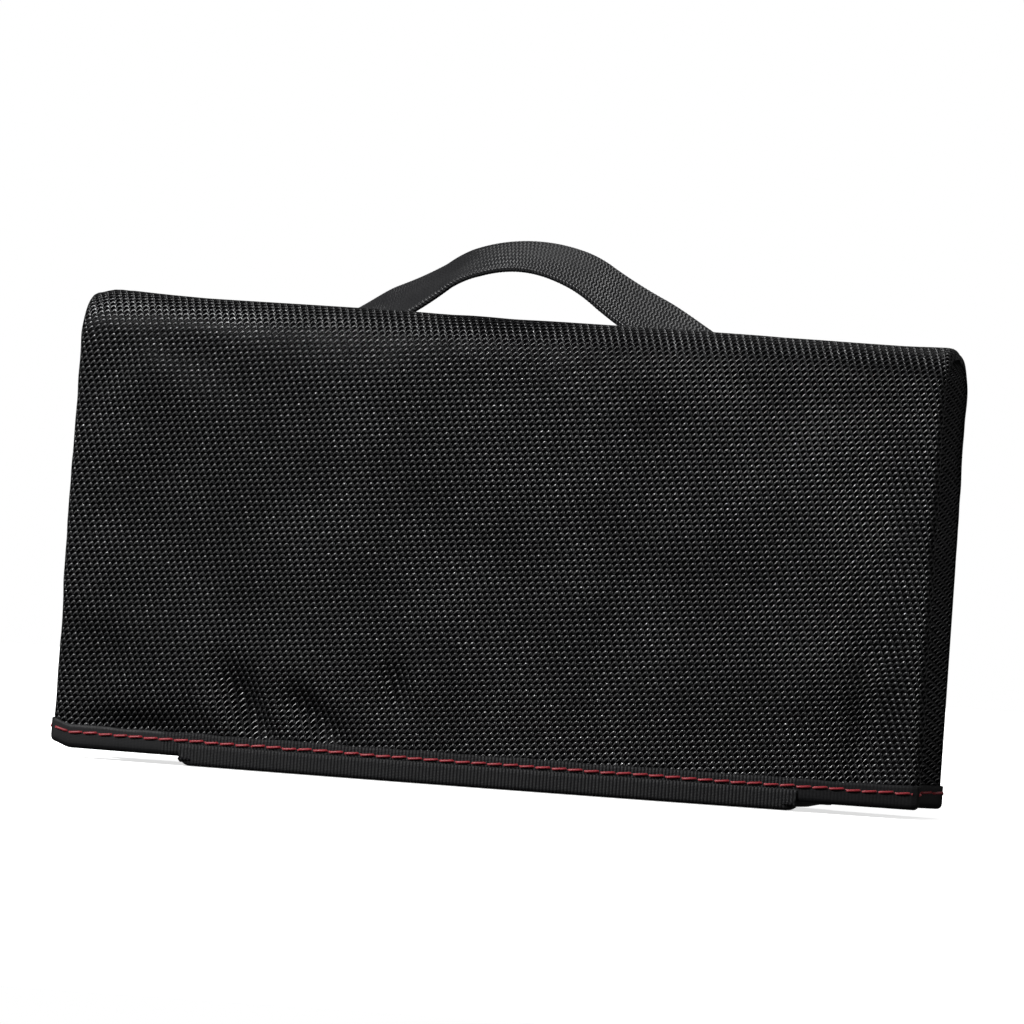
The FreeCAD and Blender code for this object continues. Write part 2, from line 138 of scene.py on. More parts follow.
def evenly(points, spacing, close=False):
    """The same line with its points spaced evenly."""
    line = np.concatenate([points, points[:1]]) if close else np.asarray(points)
    along = lengths_along(line)
    count = max(2, int(along[-1] / spacing) + 1)
    wanted = np.linspace(0, along[-1], count)
    spaced = np.stack([np.interp(wanted, along, line[:, axis]) for axis in range(3)], 1)
    return spaced[:-1] if close else spaced


def smoothed(points, rounds, close=False):
    """Rounds off a line's corners by averaging each point with its neighbours."""
    for _ in range(rounds):
        averaged = (np.roll(points, 1, 0) + 2 * points + np.roll(points, -1, 0)) / 4
        if not close:
            averaged[0], averaged[-1] = points[0], points[-1]
        points = averaged
    return points


def tangents(points, close=False):
    """Unit directions along a line."""
    if close:
        return unit(np.roll(points, -1, 0) - np.roll(points, 1, 0))
    return unit(np.gradient(points, axis=0))


# Meshes


def add_object(name, data):
    """A new object in the scene."""
    made = bpy.data.objects.new(name, data)
    bpy.context.scene.collection.objects.link(made)
    return made


def fasten(piece, body, slot, *nodes):
    """A piece that rides a body and stands for CAD nodes; its slot is not used."""
    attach(piece, body)
    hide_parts(*nodes)


def make_mesh(name, points, faces, corner_uvs, material, sharp_angle=50):
    """A smooth-shaded piece, with a UV for each corner of each face."""
    mesh = bpy.data.meshes.new(name)
    mesh.from_pydata(points.tolist(), [], faces)
    layer = mesh.uv_layers.new(name="UVMap")
    layer.data.foreach_set("uv", np.asarray(corner_uvs, np.float32).ravel())
    solid = bmesh.new()
    solid.from_mesh(mesh)
    bmesh.ops.recalc_face_normals(solid, faces=solid.faces)
    solid.to_mesh(mesh)
    solid.free()
    mesh.polygons.foreach_set("use_smooth", [True] * len(mesh.polygons))
    mesh.set_sharp_from_angle(angle=math.radians(sharp_angle))
    mesh.materials.append(material)
    return add_object(name, mesh)


def face_corners(rows, cols, wrap=False, close=False):
    """Each face's corners as row and column numbers.

    wrap joins the last column to the first, and close the last row to the first.
    """
    row, col = np.meshgrid(np.arange(rows - 1 + close), np.arange(cols - 1 + wrap), indexing="ij")
    row, col = row.ravel(), col.ravel()
    return np.stack([row, row, row + 1, row + 1], 1), np.stack([col, col + 1, col + 1, col], 1)


def thick_sheet(name, outer, thickness, uv, material):
    """A closed sheet of cloth between a grid of points and the same grid moved in by its thickness."""
    rows, cols = outer.shape[:2]
    inner = outer - grid_normals(outer) * thickness
    row, col = face_corners(rows, cols)
    faces = row * cols + col
    count = rows * cols
    number = np.arange(count).reshape(rows, cols)
    border = np.concatenate([number[0, :-1], number[:-1, -1], number[-1, :0:-1], number[:0:-1, 0]])
    following = np.roll(border, -1)
    rim = np.stack([following, border, border + count, following + count], 1)
    everything = np.concatenate([faces, faces[:, ::-1] + count, rim])
    points = np.concatenate([outer.reshape(-1, 3), inner.reshape(-1, 3)])
    flat_uv = uv.reshape(-1, 2)
    corner_uvs = flat_uv[everything % count]
    return make_mesh(name, points, everything.tolist(), corner_uvs, material)


def sweep(name, centres, rights, ups, outline, material, close=False, sharp_angle=50):
    """A solid swept along a line.

    outline is a loop of (right, up) pairs: one loop for all rows, or one for each row.
    """
    rows = len(centres)
    outline = np.asarray(outline)
    outline = np.broadcast_to(outline, (rows,) + outline.shape[-2:])
    ring = outline.shape[1]
    points = centres[:, None] + rights[:, None] * outline[..., :1] + ups[:, None] * outline[..., 1:]
    row, col = face_corners(rows, ring, wrap=True, close=close)
    faces = ((row % rows) * ring + col % ring).tolist()
    along = lengths_along(centres, close=True)
    around = lengths_along(outline[0], close=True)
    corner_uvs = np.stack([around[col], along[row]], 2).reshape(-1, 2)
    if not close:
        faces.append(list(range(ring)))
        faces.append([(rows - 1) * ring + number for number in range(ring)])
        corner_uvs = np.concatenate([corner_uvs, outline[0], outline[-1]])
    return make_mesh(name, points.reshape(-1, 3), faces, corner_uvs, material, sharp_angle)


# Materials: small node trees built from expressions


# The arches of a weave, as shares of one yarn's length and spacing.
ARCH_RISE = 0.68
ARCH_ROUNDNESS = 0.8
YARN_HALF = 0.37
YARN_DIVE = 0.6


class Shader:
    """One node material. Values are numbers, colours or the sockets that other calls return."""

    def __init__(self, name):
        self.material = bpy.data.materials.new(name)
        self.material.use_nodes = True
        self.tree = self.material.node_tree
        self.tree.nodes.clear()
        self.surface = self.node("BsdfPrincipled")
        output = self.node("OutputMaterial")
        self.tree.links.new(self.surface.outputs[0], output.inputs["Surface"])
        place = self.node("TexCoord")
        self.uv = place.outputs["UV"]
        self.position = place.outputs["Object"]

    def node(self, kind):
        return self.tree.nodes.new("ShaderNode" + kind)

    def feed(self, socket, value):
        if isinstance(value, bpy.types.NodeSocket):
            self.tree.links.new(value, socket)
        else:
            socket.default_value = value

    def set(self, **inputs):
        for name, value in inputs.items():
            self.feed(self.surface.inputs[name.replace("_", " ")], value)

    def math(self, operation, *values):
        node = self.node("Math")
        node.operation = operation
        for socket, value in zip(node.inputs, values):
            self.feed(socket, value)
        return node.outputs[0]

    def split(self, vector):
        node = self.node("SeparateXYZ")
        self.feed(node.inputs[0], vector)
        return node.outputs

    def noise(self, scale, detail=2, vector=None):
        node = self.node("TexNoise")
        self.feed(node.inputs["Vector"], vector or self.position)
        node.inputs["Scale"].default_value = scale
        node.inputs["Detail"].default_value = detail
        return node.outputs["Fac"]

    def between(self, value, low, high, to_low=0, to_high=1):
        node = self.node("MapRange")
        self.feed(node.inputs["Value"], value)
        ends = {"From Min": low, "From Max": high, "To Min": to_low, "To Max": to_high}
        for name, number in ends.items():
            node.inputs[name].default_value = number
        return node.outputs["Result"]

    def blend(self, share, first, second):
        node = self.node("Mix")
        node.data_type = "RGBA"
        self.feed(node.inputs["Factor"], share)
        self.feed(node.inputs["A"], first)
        self.feed(node.inputs["B"], second)
        return node.outputs["Result"]

    def bump(self, height, distance, strength=1.0, normal=None):
        node = self.node("Bump")
        self.feed(node.inputs["Height"], height)
        node.inputs["Distance"].default_value = distance
        self.feed(node.inputs["Strength"], strength)
        if normal:
            self.feed(node.inputs["Normal"], normal)
        return node.outputs["Normal"]

    def yarns(self, across, along, slant=0.0, climb=0.0):
        """The height of a weave in UV space: yarns ride up in arches and dive in between, row against row."""
        u, v, _ = self.split(self.uv)
        skewed_u = self.math("MULTIPLY_ADD", v, -math.tan(math.radians(slant)), u)
        skewed_v = self.math("MULTIPLY_ADD", u, -math.tan(math.radians(climb)), v)
        heights = []
        for row in (0.0, 0.5):
            turn = self.math("FRACT", self.math("MULTIPLY_ADD", skewed_u, 0.5 / across, row))
            wave = self.math("SINE", self.math("MULTIPLY", turn, math.pi))
            arch = self.math("POWER", wave, ARCH_ROUNDNESS)
            level = self.math("MULTIPLY_ADD", skewed_v, 0.5 / along, row)
            beside = self.math("FRACT", self.math("MULTIPLY_ADD", arch, -ARCH_RISE / 2, level))
            away = self.math("MULTIPLY", self.math("SUBTRACT", beside, 0.5), 2 / YARN_HALF)
            squared = self.math("MULTIPLY", away, away)
            round_yarn = self.math("SUBTRACT", 1.0, self.math("MINIMUM", squared, 1.0))
            crown = self.math("MULTIPLY_ADD", arch, YARN_DIVE, 1 - YARN_DIVE)
            heights.append(self.math("MULTIPLY", self.math("SQRT", round_yarn), crown))
        return self.math("MAXIMUM", heights[0], heights[1])

    def ribs(self, coordinate, pitch):
        """Rounded ribs, 0 in the grooves and 1 on the crests."""
        return self.math("ABSOLUTE", self.math("SINE", self.math("MULTIPLY", coordinate, math.pi / pitch)))


def woven_cloth(name, across, along, dark, light, depth, roughness, slant=0.0, climb=0.0, wear=0.4):
    """A weave: fine filaments on each yarn, a painted highlight on the yarns' crests and painted shade in the
    valleys between them, and shine and colour that drift over the cloth.
    """
    shader = Shader(name)
    height = shader.yarns(across, along, slant, climb)
    filaments = shader.noise(2600, 2)
    drift = shader.noise(38, 3)
    # Painted light: the colour runs from the dark valley colour to the light crest colour with the weave's
    # height. This is a painted highlight on each yarn's crest and painted shade in the valleys. The specular
    # level follows the same mask, so the valleys are also made less shiny as painted shade.
    crest = shader.between(height, 0.35, 0.7)
    painted_crest_light_with_drift = shader.math("MULTIPLY", crest, shader.between(drift, 0.3, 0.7, 1 - wear, 1))
    shader.set(
        Base_Color=shader.blend(painted_crest_light_with_drift, (*dark, 1), (*light, 1)),
        Roughness=shader.math("ADD", shader.between(filaments, 0.3, 0.7, -0.06, 0.06), roughness),
        Specular_IOR_Level=shader.math("MULTIPLY_ADD", painted_crest_light_with_drift, 0.8, 0.02),
    )
    fibre = shader.bump(filaments, 0.03 * MM, 0.5)
    uneven = shader.math("MULTIPLY_ADD", filaments, 0.12, height)
    shader.set(Normal=shader.bump(uneven, depth, 1.0, fibre))
    return shader.material


def tape_material():
    """Binding tape, ribbed where it is stretched over the flap's root and smooth elsewhere."""
    shader = Shader("binding_tape")
    around, along, _ = shader.split(shader.uv)
    x, y, _ = shader.split(shader.position)
    inside = shader.between(shader.math("ABSOLUTE", x), FLAP_HIGH.x - 1 * MM, FLAP_HIGH.x, 1, 0)
    front = shader.between(y, -4 * MM, 4 * MM, 1, 0.3)
    strength = shader.math("MULTIPLY_ADD", shader.math("MULTIPLY", inside, front), 0.75, 0.2)
    ribs = shader.ribs(along, 0.95 * MM)
    threads = shader.ribs(around, 0.42 * MM)
    cloth = shader.math("MULTIPLY_ADD", threads, 0.25, ribs)
    fuzz = shader.noise(2100, 2)
    shader.set(
        Base_Color=shader.blend(fuzz, (0.0022, 0.0022, 0.0026, 1), (0.0052, 0.0052, 0.0060, 1)),
        Roughness=shader.between(fuzz, 0.3, 0.7, 0.52, 0.66),
        Specular_IOR_Level=0.22,
        Normal=shader.bump(cloth, 0.16 * MM, strength, shader.bump(fuzz, 0.04 * MM, 0.6)),
    )
    return shader.material


def thread_material():
    """Red thread with fine fibres."""
    shader = Shader("red_thread")
    fibre = shader.noise(3800, 3)
    drift = shader.noise(120, 2)
    shade = shader.blend(fibre, (0.13, 0.002, 0.007, 1), (0.34, 0.008, 0.018, 1))
    shader.set(
        Base_Color=shader.blend(shader.between(drift, 0.35, 0.75), shade, (0.20, 0.004, 0.010, 1)),
        Roughness=shader.between(fibre, 0.3, 0.7, 0.42, 0.6),
        Sheen_Weight=0.12,
        Normal=shader.bump(fibre, 0.05 * MM, 0.8),
    )
    return shader.material


def webbing_material():
    """Webbing: zigzag ribs across its width, fine lengthwise yarns, polished where a hand wears it, with a
    painted highlight on the ribs' crests and painted shade in their grooves.
    """
    shader = Shader("webbing")
    around, along, _ = shader.split(shader.uv)
    zigzag = shader.math("PINGPONG", around, 1.6 * MM)
    ribs = shader.ribs(shader.math("MULTIPLY_ADD", zigzag, 0.30, along), 1.0 * MM)
    yarns = shader.ribs(around, 0.8 * MM)
    cloth = shader.math("MULTIPLY_ADD", yarns, 0.30, ribs)
    fuzz = shader.noise(2400, 2)
    wear = shader.noise(60, 3)
    shader.set(
        # Painted light: the colour follows the ribs' height, lighter on their crests as a painted highlight
        # and darker in the grooves as painted shade.
        Base_Color=shader.blend(cloth, (0.0035, 0.0035, 0.0040, 1), (0.0120, 0.0120, 0.0132, 1)),
        Roughness=shader.between(wear, 0.35, 0.7, 0.34, 0.52),
        Normal=shader.bump(cloth, 0.22 * MM, 0.9, shader.bump(fuzz, 0.03 * MM, 0.6)),
    )
    return shader.material


def felt_material():
    """Off-white needled felt."""
    shader = Shader("felt_padding")
    fibres = shader.noise(900, 6)
    clumps = shader.noise(140, 3)
    shader.set(
        Base_Color=shader.blend(clumps, (0.46, 0.44, 0.40, 1), (0.68, 0.66, 0.61, 1)),
        Roughness=0.95,
        Sheen_Weight=0.3,
        Normal=shader.bump(fibres, 0.5 * MM, 0.8, shader.bump(clumps, 0.8 * MM, 0.5)),
    )
    return shader.material


def pile_material(name, base):
    """The plastic of a hook or loop strip, mottled about its base colour."""
    shader = Shader(name)
    fibres = shader.noise(1900, 4)
    shader.set(
        Base_Color=shader.blend(fibres, (*[c * 0.5 for c in base], 1), (*[c * 1.7 for c in base], 1)),
        Roughness=shader.between(fibres, 0.3, 0.7, 0.45, 0.75),
        Sheen_Weight=0.2,
        Normal=shader.bump(fibres, 0.12 * MM, 0.8),
    )
    return shader.material


# The cloth's black, which also stands as painted shade in the weave's valleys, and the lighter colour painted
# on the yarns' crests as a painted highlight.
YARN_BLACK_AND_VALLEY_SHADE = (0.0006, 0.0006, 0.0007)
YARN_PAINTED_CREST_HIGHLIGHT = (0.0160, 0.0160, 0.0172)
SHELL_CLOTH = woven_cloth(
    "shell_cloth", 0.905 * MM, 1.45 * MM, YARN_BLACK_AND_VALLEY_SHADE, YARN_PAINTED_CREST_HIGHLIGHT, 0.5 * MM, 0.30, slant=17, climb=5,
)
GUSSET_CLOTH = woven_cloth(
    "gusset_cloth", 1.45 * MM, 0.95 * MM, YARN_BLACK_AND_VALLEY_SHADE, YARN_PAINTED_CREST_HIGHLIGHT, 0.42 * MM, 0.30, slant=20, climb=14,
)
# The flap cloth and the glass fibre lining give their own valley and crest colours, painted as shade and
# highlight in the same way.
FLAP_CLOTH = woven_cloth(
    "flap_cloth", 0.5 * MM, 0.5 * MM, (0.0040, 0.0040, 0.0045), (0.0090, 0.0090, 0.0100),
    0.10 * MM, 0.5,
)
LINING = woven_cloth(
    "glass_fibre_lining", 1.1 * MM, 1.1 * MM, (0.16, 0.165, 0.16), (0.60, 0.61, 0.60),
    0.25 * MM, 0.4, wear=0.25,
)
TAPE_CLOTH = tape_material()
THREAD = thread_material()
WEBBING = webbing_material()
FELT = felt_material()
LOOP_PILE = pile_material("loop_fastener", (0.014, 0.014, 0.015))
HOOK_PLASTIC = pile_material("hook_fastener", (0.016, 0.016, 0.018))


# The outer shell: one strip from the front mouth edge, over the closed end, to the rear mouth edge

PANEL_STEPS = 30
FOLD_STEPS = 6
TOP_STEPS = 4
ACROSS_STEPS = 60
PILLOW = 1.3 * MM
LEFT_CORNER = 7 * MM
RIGHT_CORNER = 3 * MM
DROP_ZONE = 26 * MM
RIGHT_DROOP = 0.7 * MM
DROOP_ZONE = 40 * MM
REAR_END_DROP = 1.6 * MM
REAR_END_ZONE = 9 * MM
TOP_SAG = 6.4 * MM
SAG_FADE = 45 * MM
LIFT_ZONE = 22 * MM
LEFT_LIFT = 1.5 * MM
LEFT_LIFT_ZONE = 6 * MM


def corner_drop(x):
    """How far the closed end's round corners drop below its top."""
    drop = np.zeros_like(x)
    for side, radius in ((-1, LEFT_CORNER), (1, RIGHT_CORNER)):
        into = np.clip(side * x - (HALF_WIDTH - radius), 0, radius * 0.985)
        drop += radius - np.sqrt(radius**2 - into**2)
    return drop


def foot_lift(x):
    """How far the mouth's edge rises towards the left side seam."""
    return LEFT_LIFT * ease((-x - (HALF_WIDTH - LEFT_LIFT_ZONE)) / LEFT_LIFT_ZONE)


def strip_grid():
    """The strip before it settles, and its UV in metres of cloth: a front half and its mirrored rear."""
    x = np.linspace(-(HALF_WIDTH - EDGE_ROLL), HALF_WIDTH - EDGE_ROLL, ACROSS_STEPS + 1)
    depth = HALF_DEPTH - fall(x)
    straight = np.linspace(CLOTH_FOOT, TOP - FOLD_RADIUS, PANEL_STEPS + 1)
    turn = np.linspace(0, math.pi / 2, FOLD_STEPS + 1)[1:]
    inward = np.linspace(0, 1, TOP_STEPS + 1)[1:]
    rows = [(-depth, np.full_like(x, z)) for z in straight]
    for angle in turn:
        y = -depth + FOLD_RADIUS * (1 - math.cos(angle))
        rows.append((y, np.full_like(x, TOP - FOLD_RADIUS + FOLD_RADIUS * math.sin(angle))))
    for share in inward:
        rows.append((-(depth - FOLD_RADIUS) * (1 - share), np.full_like(x, TOP)))
    front = np.array([np.stack([x, y, z], 1) for y, z in rows])
    across, behind, level = np.moveaxis(front, 2, 0)
    height = (level - CLOTH_FOOT) / (TOP - CLOTH_FOOT)
    swell = PILLOW * np.sin(math.pi * np.clip(height, 0, 1)) * (behind < -FOLD_RADIUS)
    behind -= swell
    near_top = ease((level - (TOP - DROP_ZONE)) / DROP_ZONE)
    level -= corner_drop(across) * near_top
    rim = depth - FOLD_RADIUS * 0.4
    across_top = np.power(1 - np.square(np.clip(behind / -rim, 0, 1)), 3)
    on_top = level > TOP - FOLD_RADIUS * 0.45
    level -= TOP_SAG * across_top * on_top * ease((HALF_WIDTH - np.abs(across)) / SAG_FADE)
    level += foot_lift(across) * ease(1 - (level - CLOTH_FOOT) / LIFT_ZONE)
    near_right = ease((across - (HALF_WIDTH - DROOP_ZONE)) / DROOP_ZONE)
    level -= RIGHT_DROOP * near_right * near_top
    rear = front[-2::-1] * np.array([1, -1, 1])
    across, behind, level = np.moveaxis(rear, 2, 0)
    behind -= swell[-2::-1]  # the rear panel stays flat, for the loop strip
    near_end = ease((across - (HALF_WIDTH - REAR_END_ZONE)) / REAR_END_ZONE)
    near_end *= ease((behind + 2 * MM) / (8 * MM))
    level -= REAR_END_DROP * near_end * ease((level - (TOP - DROP_ZONE)) / DROP_ZONE)
    grid = np.concatenate([front, rear])
    along = lengths_along(grid[:, ACROSS_STEPS // 2])
    uv = np.stack(np.broadcast_arrays(x[None, :], along[:, None]), 2)
    return grid, uv


SETTLE_FRAMES = 24
SETTLE_CAP = 4 * MM
SETTLED = 0.5


def settle(grid):
    """Swells the strip as slack cloth held at its edges, but not by the mouth's tape or behind the tongue."""
    rows, cols = grid.shape[:2]
    row, col = face_corners(rows, cols)
    mesh = bpy.data.meshes.new("settling")
    mesh.from_pydata(grid.reshape(-1, 3).tolist(), [], (row * cols + col).tolist())
    cloth = add_object("settling", mesh)
    held = cloth.vertex_groups.new(name="held")
    edge = np.ones((rows, cols), bool)
    edge[1:-1, 1:-1] = False
    held.add(np.flatnonzero(edge).tolist(), 1.0, "REPLACE")
    settings = cloth.modifiers.new("settle", "CLOTH").settings
    settings.quality = 6
    settings.mass = 0.3
    settings.tension_stiffness = 12
    settings.compression_stiffness = 12
    settings.shear_stiffness = 6
    settings.bending_stiffness = 0.6
    settings.use_pressure = True
    settings.uniform_pressure_force = 1.2
    settings.shrink_min = -0.012
    settings.vertex_group_mass = held.name
    settings.effector_weights.gravity = 0
    scene = bpy.context.scene
    scene.frame_start = 1
    scene.frame_end = SETTLE_FRAMES
    for moment in range(1, SETTLE_FRAMES + 1):
        scene.frame_set(moment)
    evaluated = cloth.evaluated_get(bpy.context.evaluated_depsgraph_get())
    moved = np.empty(rows * cols * 3)
    evaluated.data.vertices.foreach_get("co", moved)
    shift = moved.reshape(grid.shape) - grid
    distance = np.linalg.norm(shift, axis=2, keepdims=True)
    shift *= SETTLE_CAP * np.tanh(distance / SETTLE_CAP) / np.maximum(distance, 1e-9)
    level = grid[..., 2:]
    over_tape = ease((level - TAPE_HIGH.z) / (24 * MM))
    under_fold = 1 - 0.75 * ease((level - (TOP - 20 * MM)) / (14 * MM))
    behind_tongue = (grid[..., 1:2] > 0) * ease((TONGUE_HIGH.z + 14 * MM - level) / (12 * MM))
    shift *= SETTLED * over_tape * under_fold * (1 - behind_tongue)
    bpy.data.objects.remove(cloth)
    bpy.data.meshes.remove(mesh)
    scene.frame_set(1)
    return grid + shift


def dent(grid, normals, start, end, width, depth):
    """Moves the front panel in along a line, or out where depth is negative. All sizes are millimetres."""
    start, end = np.array(start) * MM, np.array(end) * MM
    places = grid[..., [0, 2]]
    line = end - start
    share = np.clip(((places - start) @ line) / (line @ line), 0, 1)
    nearest = start + share[..., None] * line
    distance = np.linalg.norm(places - nearest, axis=2)
    fade = np.sin(math.pi * np.clip(0.12 + 0.76 * share, 0, 1))
    front = ease((-grid[..., 1] - 5 * MM) / (5 * MM))
    above_foot = ease((grid[..., 2] - CLOTH_FOOT) / (5.5 * MM))
    amount = depth * MM * np.exp(-np.square(distance / (width * MM))) * fade * front * above_foot
    return grid - normals * amount[..., None]


# Puckers over the lower left corner, dimples along the closed end and a trough beside the right edge.
# Each has its start and end as (x, z) from the middle of the bag's foot, its width and its
# depth, in millimetres.
PUCKERS = [
    ((-112, 9), (-80, 8), 5.0, 3.2),
    ((-79, 22), (-70, 9), 2.6, -1.6),
    ((-71, 28), (-57, 8), 4.0, 3.6),
    ((-61, 21), (-53, 9), 2.6, -1.3),
    ((-52, 22), (-37, 8.5), 3.6, 3.0),
    ((-24, 33), (-21, 19), 3.0, 2.0),
    ((-112, 36), (-98, 22), 6.0, 1.2),
    ((64, 116), (69, 110), 2.4, 0.9),
    ((-117, 95), (-104, 112), 5.0, 0.8),
    ((106, 4), (108, 50), 8.0, 4.2),
    ((107, 45), (107, 106), 9.0, 2.4),
    ((-20, 108), (20, 109), 6.0, 0.5),
]


def shell_surface():
    """The shell's outer face between its side edges: settled, made fine and dented."""
    grid, uv = strip_grid()
    grid = settle(grid)
    for axis in (0, 1):
        grid, uv = refine(grid, axis), refine(uv, axis)
    grid, uv = refine(grid, 0), refine(uv, 0)
    normals = grid_normals(grid)
    for start, end, width, depth in PUCKERS:
        grid = dent(grid, normals, start, end, width, depth)
    return grid, uv


def rolled(grid, uv):
    """The grid with a quarter round along both side edges, where the cloth turns in to its seam."""
    normals = grid_normals(grid)
    angles = np.linspace(0, math.pi / 2, 6)[1:]
    sides = []
    for side, edge in ((-1, 0), (1, -1)):
        outwards = np.array([side, 0, 0]) * EDGE_ROLL
        inwards = normals[:, edge] * EDGE_ROLL
        columns = [grid[:, edge] + outwards * math.sin(a) - inwards * (1 - math.cos(a)) for a in angles]
        uvs = [uv[:, edge] + np.array([side * EDGE_ROLL * a, 0]) for a in angles]
        sides.append((np.stack(columns, 1), np.stack(uvs, 1)))
    (left, left_uv), (right, right_uv) = sides
    grid = np.concatenate([left[:, ::-1], grid, right], 1)
    return grid, np.concatenate([left_uv[:, ::-1], uv, right_uv], 1)


def crossing(t, softness=0.16):
    """A crease's profile across a gusset: 0 at both seams and 1 at the middle, with a round tip."""
    tip = np.sqrt(np.square(2 * t - 1) + softness**2)
    return (math.sqrt(1 + softness**2) - tip) / (math.sqrt(1 + softness**2) - softness)


GUSSET_PUFF = 0.9 * MM
GUSSET_WAVER = 0.5 * MM
WAVER_LENGTH = 9 * MM


def gusset_grid(shell, side):
    """A creased side wall between the shell's two seams."""
    half = shell.shape[0] // 2 + 1
    edge = shell[:, -1] if side > 0 else shell[:, 0]
    front, rear = edge[:half], edge[::-1][:half]
    if side < 0:
        front, rear = rear, front
    t = np.linspace(0, 1, 33)
    grid = front[:, None] + (rear - front)[:, None] * t[None, :, None]
    width = np.linalg.norm(rear - front, axis=1)
    share = (front[:, 2] - CLOTH_FOOT) / (TOP - CLOTH_FOOT)
    narrowing = width / width[0]
    depth = (CREASE_AT_MOUTH + (CREASE_AT_TOP - CREASE_AT_MOUTH) * share) * np.minimum(1, narrowing)
    puff = GUSSET_PUFF * np.abs(np.sin(2 * math.pi * t))[None, :] * ease(narrowing)[:, None]
    swing = np.sin(front[:, 2] / WAVER_LENGTH)[:, None]
    waver = GUSSET_WAVER * swing * np.sin(math.pi * t)[None, :] ** 2
    grid[..., 0] -= side * (depth[:, None] * crossing(t)[None, :] - puff - waver * narrowing[:, None])
    leg = math.hypot(CREASE_AT_MOUTH, width[0] / 2)
    uv = np.stack(np.broadcast_arrays((2 * t * leg)[None, :], lengths_along(front)[:, None]), 2)
    keep = slice(0, half - 1)
    return grid[keep], uv[keep]


GUSSET_GAP = 0.25 * MM
SIDE_LINING_INSET = 2.3 * MM
SIDE_LINING_THICKNESS = 0.6 * MM
SIDE_LINING_SHARE = 0.85
LINING_FOOT_ROWS = 14
LINING_HALF_WIDTH = 108 * MM
LINING_INSET = 4.3 * MM
LINING_THICKNESS = 0.7 * MM
FELT_FOOT = 11.4 * MM
FELT_INSET = 1.5 * MM
FELT_THICKNESS = 2.3 * MM


def inset(grid, distance):
    """The grid moved in from its outer face."""
    return grid - grid_normals(grid) * distance


def build_shell():
    """The shell, and on each side its gusset with the lining behind it."""
    surface, surface_uv = shell_surface()
    grid, uv = rolled(surface, surface_uv)
    shell = thick_sheet("shell", grid, CLOTH, uv, SHELL_CLOTH)
    fasten(shell, "bag", "shell_cloth", "outer_wrap")
    for name, side in (("left", -1), ("right", 1)):
        wall, wall_uv = gusset_grid(grid, side)
        wall = wall - np.array([side * GUSSET_GAP, 0, 0])
        gusset = thick_sheet(f"{name}_side", wall, CLOTH, wall_uv, GUSSET_CLOTH)
        fasten(gusset, "bag", "shell_cloth", f"{name}_gusset")
        wide = np.abs(wall[:, 0, 1]) > SIDE_LINING_SHARE * abs(wall[0, 0, 1])
        wide[:LINING_FOOT_ROWS] = False
        behind, behind_uv = inset(wall, SIDE_LINING_INSET)[wide], wall_uv[wide]
        lining = thick_sheet(f"{name}_side_inner", behind, SIDE_LINING_THICKNESS, behind_uv, LINING)
        fasten(lining, "bag", "glass_fibre_lining", f"{name}_gusset_lining")
    build_plies(surface, surface_uv)


def build_plies(surface, surface_uv):
    """The lining and the felt between it and the shell."""
    inside = np.abs(surface[0, :, 0]) <= LINING_HALF_WIDTH
    surface, uv = surface[:, inside], surface_uv[:, inside]
    lining = thick_sheet("lining", inset(surface, LINING_INSET), LINING_THICKNESS, uv, LINING)
    fasten(lining, "bag", "glass_fibre_lining", "lining_wrap")
    level = surface[:, surface.shape[1] // 2, 2]
    rows = np.arange(len(level))
    middle = len(level) // 2
    upright = (level > FELT_FOOT) & (level < TOP - FOLD_RADIUS)
    high_rows = np.flatnonzero(level > TOP - 2 * MM)
    panels = {
        "front_padding": rows[(rows < middle) & upright],
        "rear_padding": rows[(rows > middle) & upright],
        "top_padding": rows[high_rows[0] : high_rows[-1] + 1],
    }
    for name, chosen in panels.items():
        felt_grid = inset(surface, FELT_INSET)[chosen]
        felt = thick_sheet(name.replace("padding", "felt"), felt_grid, FELT_THICKNESS, uv[chosen], FELT)
        fasten(felt, "bag", "felt_padding", name)


# Thread and tape

STITCH_PITCH = 4.4 * MM
STITCH_LENGTH = 3.5 * MM
STITCH_CREST = 0.26
STITCH_DIP = 0.42
STITCH_SLANT = 0.3
STITCH_WOBBLE = 0.12
THREAD_RADIUS = 0.36 * MM
THREAD_TWIST = 1.5 * MM


def thread_run(name, line, outwards, pitch=STITCH_PITCH, length=STITCH_LENGTH):
    """A lockstitched seam: one twisted thread that lies on the cloth for each stitch and dips in between.

    A stitch's crest, dip, slant and wobble are in millimetres.
    """
    across = unit(np.cross(outwards, tangents(line)))
    travelled = lengths_along(line)[: len(line)]
    total = travelled[-1]
    pitch = total / max(1, round(total / pitch))
    phase = (travelled % pitch) / pitch
    on_top = length / pitch
    lying = phase < on_top
    within = np.where(lying, phase / on_top, (phase - on_top) / (1 - on_top))
    stitches = range(int(total / pitch) + 2)
    wobble = np.array([chance.uniform(-STITCH_WOBBLE, STITCH_WOBBLE) for _ in stitches])
    each = wobble[(travelled / pitch).astype(int)]
    bow = np.sin(math.pi * within)
    height = np.where(lying, STITCH_CREST * np.sqrt(bow), -STITCH_DIP * bow)
    aside = STITCH_SLANT * np.where(lying, within - 0.5, 0.5 - within) + each
    centres = line + outwards * (height * MM)[:, None] + across * (aside * MM)[:, None]
    angles = np.linspace(0, 2 * math.pi, 11)[:-1]
    twist = travelled[:, None] * 2 * math.pi / THREAD_TWIST
    radius = THREAD_RADIUS * (0.80 + 0.22 * np.abs(np.cos(angles[None, :] - twist)))
    outline = np.stack([radius * np.cos(angles), radius * np.sin(angles)], 2)
    return sweep(name, centres, across, outwards, outline, THREAD, sharp_angle=80)


